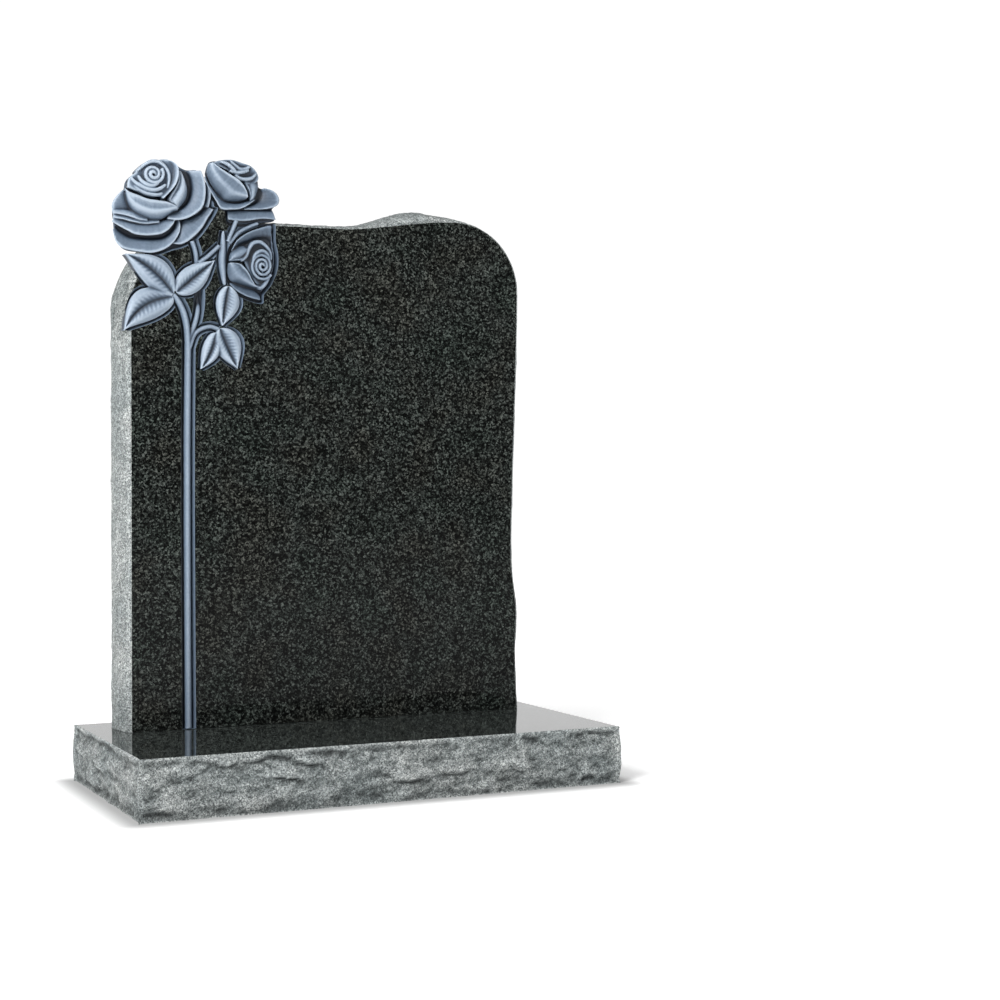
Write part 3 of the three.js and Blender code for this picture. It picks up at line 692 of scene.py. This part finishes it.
# stems and other ridges


def sweepPoint(path, s, t, half):
    x, y = curvePoint(path, s)
    ahead, behind = curvePoint(path, min(1.0, s + 0.01)), curvePoint(path, max(0.0, s - 0.01))
    tangent = Vector((ahead[0] - behind[0], ahead[1] - behind[1])).normalized()
    return (x - tangent.y * t * half, y + tangent.x * t * half)


def alongLine(value):  # a width or height that may change along a line
    return value if callable(value) else lambda s: value


def makeRidge(name, path, width, crest, steps=40, back=-carving["depth"]):
    widthAt, crestAt = alongLine(width), alongLine(crest)

    def surface(s, share):
        t = 2 * share - 1
        half = widthAt(s) / 2
        return (*sweepPoint(path, s, t, half), crestAt(s) - half * 0.8 * t * t)

    return sheetBody(name, steps, 10, surface, back)


def ridgeCutter(stem, index):
    widthAt, steps = alongLine(stem["width"]), stem["steps"]

    def ring(extra, height):
        sides = []
        for t in (1, -1):
            order = range(steps + 1) if t > 0 else range(steps, -1, -1)
            for i in order:
                half = widthAt(i / steps) / 2 + extra
                sides.append(placed(*sweepPoint(stem["path"], i / steps, t, half), height))
        return sides

    return grooveBody(f"stemCutter{index}", ring, carving["grooveDepth"] - 0.37 * index)


stemWidth, twigWidth = carving["stemWidth"], carving["twigWidth"]
stems = [
    {
        "path": [(1, slabFoot - forkZ + 0.4), (0, -300), (0, -150), (1, -45), (1, -6), (-3, 20), (-10, 37),
            (-19, 49)],
        "width": lambda s: stemWidth - 3.5 * s**6,
        "crest": 0,
        "steps": 110,
    },
    {
        "path": [(1, -14), (9, 6), (14, 25), (16, 48), (14, 80), (12, 104), (7, 120)],
        "width": twigWidth + 1,
        "crest": lambda s: -1 - 7 * math.exp(-(((s - 0.57) / 0.16) ** 4)),
        "steps": 44,
    },
    {"path": [(3, -22), (10, -3), (20, 5), (32, 8), (43, 5)], "width": twigWidth, "crest": -0.5, "steps": 24},
    {"path": [(16, 92), (28, 101), (44, 116)], "width": twigWidth, "crest": -1, "steps": 14},
    {
        "path": [(49, 136), (49, 116), (48, 96), (49, 80), (51, 64)],
        "width": lambda s: 1.5 + 8.5 * math.sin(math.pi * (0.04 + 0.9 * s)),
        "crest": 0,
        "steps": 26,
    },
    {"path": [(68, 151), (62, 137), (56, 122)], "width": twigWidth, "crest": -1, "steps": 14},
    {"path": [(58, 119), (71, 135), (86, 144), (98, 149)], "width": twigWidth - 1, "crest": -2, "steps": 18},
]


# roses

openRose = {
    "wash": 0.56,  # how light the tint is left
    "outline": [(-97.5, 137), (-99, 155), (-95, 168.5), (-84.5, 180.5), (-80.5, 195), (-65, 209.5),
        (-46.5, 222), (-27.5, 228.5), (-13, 222.5), (2, 216), (18, 216.5), (26, 202), (31.5, 185),
        (31.5, 168), (37, 164.5), (26, 145), (11, 125.5), (-8, 114), (-20, 110.5), (-38.5, 103),
        (-60, 100.5), (-83.5, 103), (-95, 118)],
    "petals": [
        {
            "root": [(25, 207), (27, 194), (27.5, 179.5), (25, 167.5)],
            "rim": [(26.5, 204), (31.5, 191.5), (32, 178), (30, 166)],
            "dish": (-5, -1),
        },
        {
            "root": [(25.5, 168), (17.5, 158), (5.5, 151), (-4, 147.5), (-8.5, 140.5), (-9.5, 131.5),
                (-13.5, 123.5)],
            "rim": [(37, 164), (29.5, 153), (21.5, 139.5), (12, 128), (1, 119), (-8.5, 114.5), (-18, 115)],
            "dish": (-9, -1),
        },
        {
            "root": [(-94.5, 134), (-86.5, 128), (-73.5, 121.5), (-52.5, 120.5), (-34, 122.5), (-23, 129),
                (-16.5, 137.5), (-13.5, 145.5)],
            "rim": [(-98.5, 129), (-95.5, 115), (-88, 106), (-75, 102.5), (-60.5, 101), (-47, 101),
                (-34, 105), (-23, 112), (-14, 122.5), (-9, 134.5), (-9.5, 145)],
            "dish": (-9, 0),
        },
        {
            "root": [(-79.5, 175.5), (-78.5, 168), (-75.5, 160.5), (-70.5, 151.5)],
            "rim": [(-85, 181.5), (-94, 172), (-99.5, 162.5), (-99.5, 151)],
            "dish": (-5, -0.5),
        },
        {
            "root": [(-96.5, 146.5), (-87.5, 143), (-73, 140), (-56, 139), (-38.5, 141.5), (-26.5, 146.5),
                (-20, 148.5)],
            "rim": [(-100.5, 138.5), (-90, 132.5), (-79.5, 127.5), (-70.5, 123.5), (-53, 123),
                (-37.5, 125.5), (-28, 130.5), (-20, 139), (-17, 145.5)],
            "dish": (-4, 3),
        },
        {
            "root": [(-97, 150), (-84, 148), (-71, 145), (-55, 143.5), (-36.5, 145.5)],
            "rim": [(-99, 143.5), (-86, 142), (-73, 139.5), (-57, 138), (-37.5, 141)],
            "dish": (-3, 2.5),
        },
        {
            "root": [(-95.5, 156.5), (-85, 156), (-73, 154), (-62.5, 150.5), (-53.5, 147.5)],
            "rim": [(-100, 149), (-87.5, 148), (-75.5, 145.5), (-65.5, 143), (-53.5, 142.5)],
            "dish": (-3, 3.5),
        },
        {
            "root": [(-0.5, 213), (5, 203), (7, 189), (4.5, 175.5), (-2, 166), (-11.5, 160), (-23.5, 155)],
            "rim": [(18.5, 213.5), (23.5, 198), (24, 181), (20.5, 166), (12, 156.5), (-0.5, 149),
                (-14, 145.5), (-27, 146.5)],
            "dish": (-7, 4),
        },
        {
            "root": [(-8.5, 210.5), (-2, 200.5), (1.5, 188), (-0.5, 176), (-6, 166.5), (-11.5, 160.5)],
            "rim": [(-12, 211), (-12.5, 199), (-16.5, 188.5), (-22, 180), (-26, 172), (-20.5, 167)],
            "bowl": (-6, 5.5, 4),
        },
        {
            "root": [(-28, 221.5), (-23, 213), (-23, 198.5), (-28.5, 186.5), (-37.5, 175)],
            "rim": [(-25, 222.5), (-15.5, 215.5), (-14, 203.5), (-19.5, 188.5), (-34, 171.5)],
            "dish": (0, 10.5),
        },
        {
            "root": [(-82, 176), (-78.5, 162), (-69, 150), (-54.5, 144.5), (-40, 144.5), (-28, 149.5),
                (-19, 156), (-12, 159.5)],
            "rim": [(-87, 183), (-80.5, 177.5), (-68.5, 173.5), (-55.5, 169.5), (-42.5, 168.5),
                (-30.5, 167.5), (-21, 164.5), (-13, 159.5)],
            "bowl": (-4, 9.5, 12),
        },
    ],
    "core": [(-82, 182.5), (-79.5, 195.5), (-66.5, 207), (-50.5, 218.5), (-32, 224.5), (-20, 221),
        (-14.5, 208.5), (-20, 191), (-32, 176), (-50.5, 173), (-69, 178.5)],
    "floor": 5,  # height of the stone between the innermost petals
    "folds": [
        {"crest": 9, "path": [(-69.5, 204.5), (-60, 213), (-51, 218.5), (-41.5, 219), (-33.5, 214.5),
                (-27.5, 206), (-26.5, 196), (-28.5, 186)]},
        {"crest": 10.5, "path": [(-77, 196.5), (-72.5, 191), (-66, 187), (-55.5, 183), (-45, 182.5),
                (-37, 185.5), (-31, 190.5)]},
        {"crest": 11.5, "path": [(-67.5, 199), (-64, 193), (-57, 188.5), (-49, 187.5), (-41, 191)]},
        {"crest": 8, "path": [(-73, 187), (-64, 180.5), (-53.5, 177), (-43, 176.5), (-35, 179)]},
    ],
    "heart": {
        "centre": (-48, 202.5),
        "start": 0.8,
        "pitch": 6.1,
        "turns": 2.1,
        "squash": 0.95,
        "width": 4.4,
        "crest": 13,
        "slope": 2,
    },
}

sideRose = {
    "wash": 0.42,
    "outline": [(25, 212.5), (30.5, 227.5), (44, 230.5), (60.5, 231.5), (77, 229.5), (88.5, 227.5),
        (98, 218.5), (99.5, 206), (102.5, 197.5), (117.5, 196), (127.5, 186), (127.5, 177), (120.5, 167.5),
        (124.5, 154), (103.5, 149), (78.5, 146), (56.5, 147.5), (53.5, 163.5), (42.5, 170), (31.5, 188)],
    "petals": [
        {
            "root": [(56, 164), (73, 164.5), (90, 165.5), (104, 167), (119.5, 168.5)],
            "rim": [(56, 151.5), (72.5, 150.5), (86.5, 152), (103, 155.5), (123.5, 155.5)],
            "dish": (-5, -1),
        },
        {
            "root": [(102, 195), (101, 187.5), (97.5, 180.5), (91, 175.5), (81, 171.5)],
            "rim": [(106, 197), (119, 193.5), (126.5, 184.5), (124.5, 175), (113, 169.5), (96.5, 167),
                (78, 166)],
            "dish": (-8, 2),
        },
        {
            "root": [(25.5, 209.5), (29.5, 199), (36.5, 189), (44.5, 180.5), (54.5, 174.5), (68, 174),
                (78.5, 177), (86, 181)],
            "rim": [(22.5, 204.5), (26.5, 193), (32.5, 183), (38.5, 173), (45.5, 164), (61.5, 164.5),
                (72.5, 166.5), (83, 172), (93, 180)],
            "dish": (-5, 3.5),
        },
        {
            "root": [(98, 209.5), (99, 199), (96.5, 189.5), (92.5, 181), (86, 177.5)],
            "rim": [(74, 205.5), (79.5, 199.5), (83.5, 192.5), (85.5, 185.5), (85, 180)],
            "bowl": (-5, 3, 2),
        },
        {
            "root": [(29, 223.5), (27, 213), (30.5, 201.5), (36.5, 192), (43.5, 184), (51.5, 177),
                (65.5, 176.5), (76.5, 178.5), (83, 181.5)],
            "rim": [(32, 224.5), (40, 219), (48, 214), (56.5, 209.5), (64.5, 205.5), (70, 201.5),
                (75.5, 195), (79, 188.5), (81, 181.5)],
            "bowl": (-4, 9, 10.5),
        },
    ],
    "core": [(30.5, 224), (43, 229), (59.5, 231), (76, 227.5), (87, 224.5), (96, 216), (97.5, 205.5),
        (85.5, 199), (69, 207), (52.5, 216.5)],
    "floor": 2,
    "folds": [
        {"crest": 8, "path": [(43.5, 226.5), (53, 223.5), (60, 218.5), (65.5, 214)]},
        {"crest": 6.5, "path": [(57.5, 228.5), (64.5, 222.5), (71.5, 218.5), (79.5, 220), (84.5, 223.5)]},
        {"crest": 7, "path": [(56, 215), (67, 214), (75.5, 215.5), (83, 218)]},
        {"crest": 6, "path": [(64.5, 210.5), (71.5, 206.5), (80, 206), (87.5, 208.5), (93.5, 214.5)]},
    ],
    "heart": None,
}

lowRose = {
    "wash": 0.33,
    "outline": [(57.5, 95.5), (59, 110), (68.5, 125), (86.5, 137.5), (105, 145), (118.5, 151), (118.5, 124),
        (121, 105.5), (119.5, 88), (112, 70), (103.5, 57.5), (102, 46), (86.5, 48), (67, 56), (58, 70),
        (56, 83)],
    "petals": [
        {
            "root": [(68, 112), (75, 119.5), (86.5, 124), (99, 128.5), (111.5, 128), (117, 120.5)],
            "rim": [(60.5, 111), (68, 124.5), (80.5, 134.5), (94.5, 141), (107, 145.5), (117, 148)],
            "dish": (-9, -0.5),
        },
        {
            "root": [(114.5, 128.5), (116, 115), (116.5, 99), (113.5, 85), (107, 71.5), (100, 60.5)],
            "rim": [(116.5, 144), (118, 122.5), (120, 106.5), (118.5, 89), (111.5, 71.5), (102.5, 57.5)],
            "dish": (-8, -2),
        },
        {
            "root": [(62, 69), (72, 66.5), (83, 64), (93, 61.5), (101, 55)],
            "rim": [(58, 66), (66.5, 57.5), (79, 51), (91.5, 47.5), (101.5, 46)],
            "dish": (-8, -0.5),
        },
        {
            "root": [(57.5, 97.5), (59.5, 107), (66.5, 114), (76, 118), (84.5, 116.5)],
            "rim": [(56.5, 96), (65.5, 97), (74, 98.5), (79.5, 103.5), (83.5, 111)],
            "bowl": (-5, 3.5, 2.5),
        },
        {
            "root": [(56.5, 93.5), (55, 82.5), (59, 71.5), (68.5, 67), (79.5, 64), (91, 62), (98, 61.5)],
            "rim": [(56, 94), (70, 93), (77, 88), (82.5, 81), (86.5, 73), (92, 65.5), (99, 62.5)],
            "bowl": (-5, 6, 6.5),
        },
    ],
    "core": [(76.5, 97.5), (86, 118), (100, 123), (112.5, 114), (117, 98.5), (114, 82), (105.5, 68),
        (95.5, 66.5), (86, 80.5)],
    "floor": -1,
    "folds": [
        {"crest": 4.5, "path": [(73, 96.5), (80, 103.5), (83.5, 113), (89, 121), (98, 123.5), (106.5, 119),
                (113, 111), (115, 100.5)]},
        {"crest": 4, "path": [(92.5, 65.5), (99.5, 62.5), (106.5, 68.5), (112.5, 78)]},
        {"crest": 5.5, "path": [(88, 96), (92.5, 106.5), (101, 111.5), (108.5, 108), (112.5, 100)]},
    ],
    "heart": {
        "centre": (101.5, 91.5),
        "start": 0.8,
        "pitch": 5.14,
        "turns": 2.9,
        "squash": 1.16,
        "width": 3.9,
        "crest": 7,
        "slope": 2.5,
    },
}
headWeb = [(2, 134), (60, 134), (56, 160), (49, 176), (42, 187), (34, 195), (28, 190), (18, 168)]


def petalProfile(petal):  # across a petal from its root to its rim, as share and height
    if "dish" in petal:
        low, high = petal["dish"]
        span = high - low
        return [
            (0, low),
            (0.18, low + 0.42 * span),
            (0.45, low + 0.72 * span),
            (0.75, low + 0.9 * span),
            (0.92, high),
            (1, high - 1.3),
        ]
    foot, belly, lip = petal["bowl"]
    return [
        (0, foot),
        (0.15, (foot + belly) / 2),
        (0.38, belly - 0.5),
        (0.62, belly),
        (0.82, lip - 1.2),
        (0.92, lip),
        (1, lip - 1.2),
    ]


def makePetal(petal, name, back, middle):
    profile = petalProfile(petal)

    def surface(s, share):
        v, height = curvePoint(profile, share)
        inner, outer = curvePoint(petal["root"], s), curvePoint(petal["rim"], s)
        sag = 3 * (1 - max(0.0, math.sin(math.pi * s)) ** 0.6)
        streak = 0.22 * noise.noise(Vector((s * 26, share * 2.0, len(name)))) * math.sin(math.pi * share)
        u, w = (a + (b - a) * v for a, b in zip(inner, outer))
        return (u, w, height - sag + streak)

    return sheetBody(name, 56, 26, surface, back, middle)


def headLoop(outline):
    closed = outline + outline[:1]
    return [curvePoint(closed, i / (len(outline) * 6)) for i in range(len(outline) * 6)]


def middleOf(loop):
    return sum(p[0] for p in loop) / len(loop), sum(p[1] for p in loop) / len(loop)


def headBody(name, outline, front, back):
    loop = headLoop(outline)
    cu, cw = middleOf(loop)

    def ring(share, height):
        return [placed(cu + (u - cu) * share, cw + (w - cw) * share, height) for u, w in loop]

    levels = ((0.95, 0), (0.97, 0.1), (0.95, 0.3), (0.87, 0.65), (carving["headTaper"], 1))
    return ringBody(name, [ring(share, front + (back - front) * t) for share, t in levels])


def headCutter(rose, index):
    loop = headLoop(rose["outline"])
    cu, cw = middleOf(loop)

    def ring(extra, height):
        points = []
        for u, w in loop:
            away = Vector((u - cu, w - cw))
            away = away.normalized() * (away.length + extra)
            points.append(placed(cu + away.x, cw + away.y, height))
        return points

    return grooveBody(f"roseCutter{index}", ring, carving["grooveDepth"] + 0.4 + 0.3 * index)


def makeRose(rose, name, front, back):
    pieces = [headBody(name + "Body", rose["outline"], front, back)]
    pieces.append(headBody(name + "Core", rose["core"], rose["floor"], -carving["depth"]))
    middle = middleOf(headLoop(rose["outline"]))
    for i, petal in enumerate(rose["petals"]):
        pieces.append(makePetal(petal, f"{name}Petal{i}", -carving["depth"] - 6, middle))
    for i, fold in enumerate(rose["folds"]):
        swell = lambda s: max(0.0, math.sin(math.pi * s)) ** 0.5
        width, crest = lambda s: 1.6 + 3.8 * swell(s), lambda s: fold["crest"] - 2.5 * (1 - swell(s))
        pieces.append(makeRidge(f"{name}Fold{i}", fold["path"], width, crest))
    if rose["heart"]:
        heart = rose["heart"]
        count = round(heart["turns"] * 22)
        path = []
        for i in range(count + 1):
            angle = 2 * math.pi * heart["turns"] * i / count
            radius = heart["start"] + heart["pitch"] * heart["turns"] * i / count
            u, w = heart["centre"]
            path.append((u + radius * math.cos(angle), w + radius * heart["squash"] * math.sin(angle)))
        crest = lambda s: heart["crest"] - heart["slope"] * s
        pieces.append(makeRidge(name + "Heart", path, heart["width"], crest, count * 2, -6))
    return pieces


# one fused skin for each group of carved bodies


def fuse(name, pieces, wash, depthShade=0.1):  # wash: how light the tint is left, 0 to 1; the last argument: how much painted shade darkens the deep parts
    piece = joinPieces(name, pieces)
    applyModifier(piece, "REMESH", mode="VOXEL", voxel_size=carving["voxel"] * mm, adaptivity=0.0)
    applyModifier(piece, "SMOOTH", factor=0.5, iterations=carving["soften"])
    markRelief(piece, wash, carving["reliefSteps"], depthShade)
    piece.data.materials.clear()
    piece.data.materials.append(carved)
    selectOnly(piece)
    bpy.ops.object.shade_smooth()
    return piece


base = makeBase()
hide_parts("base")
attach(base, "root")
print("base pitched and polished", len(base.data.polygons))

slab = makeSlab()
web = headBody("web", headWeb, 0, -carving["headDepth"])
applyModifier(slab, "BOOLEAN", operation="UNION", object=web, solver="EXACT")
bpy.data.objects.remove(web)
cutters = [leafCutter(leaf, i) for i, leaf in enumerate(leaves)]
cutters += [ridgeCutter(stem, i) for i, stem in enumerate(stems)]
cutters += [headCutter(rose, i) for i, rose in enumerate((openRose, sideRose, lowRose))]
cutter = joinPieces("cutter", cutters)
slab.data.materials.append(pitched)
slab.data.materials.append(polished)
slab.data.materials.append(carved)
for face in slab.data.polygons:
    face.material_index = 1 if abs(face.normal.y) > 0.995 and (
        face.center.y < (faceY + 0.2) * mm or face.center.y > (faceY + slabShape["thickness"] - 0.5) * mm
    ) else 0
cutter.data.materials.append(carved)
applyModifier(
    slab,
    "BOOLEAN",
    operation="DIFFERENCE",
    object=cutter,
    solver="EXACT",
    use_self=True,
    material_mode="TRANSFER",
)
bpy.data.objects.remove(cutter)
selectOnly(slab)
bpy.ops.object.shade_smooth_by_angle(angle=math.radians(28))
relief = slab.data.attributes["relief"]
cutWashAndShade = {"top": 0.62, "fall": 0.02, "deepFrom": 6, "deepFall": 0.14, "least": 0.05}  # wash on the cut walls, with painted shade darker towards the foot
cutFace = slab.data.materials.find("tintedCarving")
for face in slab.data.polygons:
    if face.material_index == cutFace:
        for i in face.vertices:
            height = min(0.0, faceY - slab.data.vertices[i].co.y / mm)
            deep = min(0.0, height + cutWashAndShade["deepFrom"])
            washAndShade = cutWashAndShade["top"] + cutWashAndShade["fall"] * height + cutWashAndShade["deepFall"] * deep
            relief.data[i].value = max(cutWashAndShade["least"], washAndShade)
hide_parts("headstone")
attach(slab, "root")
print("slab cut", len(slab.data.polygons), [m.name for m in slab.data.materials])

roses = [
    fuse("rose_open", makeRose(openRose, "open", -10, -carving["headDepth"]), openRose["wash"]),
    fuse("rose_side", makeRose(sideRose, "side", -8, -carving["headDepth"]), sideRose["wash"]),
    fuse("rose_low", makeRose(lowRose, "low", -9, -carving["depth"]), lowRose["wash"]),
]
leafPiece = fuse("leaves", [makeLeaf(leaf, i) for i, leaf in enumerate(leaves)], leafShape["wash"])
stemPiece = fuse(
    "stems",
    [
        makeRidge(f"stem{i}", stem["path"], stem["width"], stem["crest"], stem["steps"] * 2)
        for i, stem in enumerate(stems)
    ],
    carving["stemWash"],
    carving["stemSideShade"],
)
headBack = {"from": 13, "rough": 1.6, "flakeWide": 19, "flakeTall": 15}  # left as it was split
for rose in roses[:2]:
    rose.data.materials.append(pitched)
    relief = rose.data.attributes["relief"]
    normals = np.empty(len(rose.data.vertices) * 3)  # read once, because a moved point makes them anew
    rose.data.vertices.foreach_get("normal", normals)
    for vertex, value, normal in zip(rose.data.vertices, relief.data, normals.reshape(-1, 3)):
        depth = vertex.co.y / mm - faceY
        if depth > headBack["from"]:
            x, z = vertex.co.x / mm, vertex.co.z / mm
            rock = splitRock(x, z + depth, 4.0, headBack["flakeWide"], headBack["flakeTall"])
            ease = min(1.0, (depth - headBack["from"]) / 6)
            vertex.co += Vector(normal) * (headBack["rough"] * (rock - 0.6) * ease * mm)
            # painted shade in the split hollows and painted highlight on the proud flakes
            value.value = min(1.0, max(0.2, 0.55 + 0.35 * rock))
    for face in rose.data.polygons:
        if face.center.y > (faceY + headBack["from"]) * mm:
            face.material_index = 1
for piece in [*roses, leafPiece, stemPiece]:
    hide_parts("headstone")
    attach(piece, "root")
    print(piece.name, "fused", len(piece.data.polygons))

# studio: white sweep, soft key from the upper left, pale surroundings

studio = {
    "world": 0.32,
    "key": 170,
    "keyPlace": (-2.6, -2.0, 2.6),
    "keySize": 1.6,
    "fill": 26,
    "fillPlace": (2.4, -2.6, 1.6),
    "sweepNear": 0.3,
    "sweepFar": 0.75,
    "contact": 0.045,  # metres from the base to where its contact shade ends
    "contactShade": 0.4,
    "floorWhite": 0.9,
    "surround": 9.5,  # metres from the middle to the white all round
    "surroundHigh": 14,
}
world = bpy.context.scene.world or bpy.data.worlds.new("studio")
bpy.context.scene.world = world
world.use_nodes = True
background = world.node_tree.nodes.get("Background") or world.node_tree.nodes.new("ShaderNodeBackground")
background.inputs["Color"].default_value = (1, 1, 1, 1)
background.inputs["Strength"].default_value = studio["world"]


def addSoftLight(name, place, size, power, aim=(0, 0, 0.4)):
    clearSelection()
    bpy.ops.object.light_add(type="AREA", location=place)
    light = bpy.context.object
    light.name = name
    light.data.energy = power
    light.data.size = size
    light.rotation_euler = (Vector(aim) - Vector(place)).to_track_quat("-Z", "Y").to_euler()
    return light


addSoftLight("keyLight", studio["keyPlace"], studio["keySize"], studio["key"])
fillLight = addSoftLight("fillLight", studio["fillPlace"], 2.4, studio["fill"])
fillLight.visible_glossy = False  # the polished face shows no second lamp

clearSelection()
bpy.ops.mesh.primitive_plane_add(size=20)
floor = bpy.context.object
floor.name = "floor"
floorPaint = newMaterial("whiteFloor")
spot = addNode(floorPaint, "TexCoord").outputs["Object"]
reach = addNode(floorPaint, "VectorMath", {"operation": "LENGTH"}, {0: spot}).outputs["Value"]
lift = addNode(  # the sweep stays white far off, and takes a soft shadow under the stone
    floorPaint,
    "MapRange",
    {"From Min": 0.4, "From Max": 1.4, "To Min": studio["sweepNear"], "To Max": studio["sweepFar"]},
    {"Value": reach},
).outputs[0]
side = addNode(floorPaint, "VectorMath", {"operation": "ABSOLUTE"}, {0: spot}).outputs[0]
halfBase = (baseShape["width"] / 2 * mm, baseShape["depth"] / 2 * mm, 0)
past = addNode(floorPaint, "VectorMath", {"operation": "SUBTRACT", 1: halfBase}, {0: side}).outputs[0]
past = addNode(floorPaint, "VectorMath", {"operation": "MAXIMUM", 1: (0, 0, 0)}, {0: past}).outputs[0]
gap = addNode(floorPaint, "VectorMath", {"operation": "LENGTH"}, {0: past}).outputs["Value"]
share = addNode(  # little light reaches the floor close under the rough foot of the base
    floorPaint,
    "MapRange",
    {
        "interpolation_type": "SMOOTHSTEP",
        "From Max": studio["contact"],
        "To Min": studio["contactShade"],
        "To Max": 1.0,
    },
    {"Value": gap},
).outputs[0]
white = (studio["floorWhite"],) * 3
paint = addNode(floorPaint, "VectorMath", {"operation": "SCALE", 0: white}, {"Scale": share}).outputs[0]
lift = addNode(floorPaint, "Math", {"operation": "MULTIPLY"}, {0: lift, 1: share}).outputs[0]
finishMaterial(
    floorPaint,
    {"Roughness": 0.9, "Specular IOR Level": 0.0, "Emission Color": (1, 1, 1, 1)},
    {"Emission Strength": lift, "Base Color": paint},
)
floor.data.materials.append(floorPaint)

clearSelection()
bpy.ops.mesh.primitive_plane_add(size=1, location=(0, 5, 3))
backdrop = bpy.context.object
backdrop.name = "backdrop"
backdrop.scale = (20, 8, 1)
backdrop.rotation_euler = (math.radians(90), 0, 0)
backdropPaint = newMaterial("whiteBackdrop")
glow = addNode(backdropPaint, "Emission", {"Color": (1, 1, 1, 1), "Strength": 1.05})
addNode(backdropPaint, "OutputMaterial", links={"Surface": glow.outputs[0]})
backdrop.data.materials.append(backdropPaint)

clearSelection()
bpy.ops.mesh.primitive_cylinder_add(
    vertices=96,
    radius=studio["surround"],
    depth=studio["surroundHigh"],
    location=(0, 0, studio["surroundHigh"] / 2 - 0.1),
    end_fill_type="NOTHING",
)
surround = bpy.context.object  # white all round for the eye alone, so it adds no light
surround.name = "surround"
surround.data.materials.append(backdropPaint)
surround.visible_diffuse = surround.visible_glossy = surround.visible_shadow = False
print("studio lit")
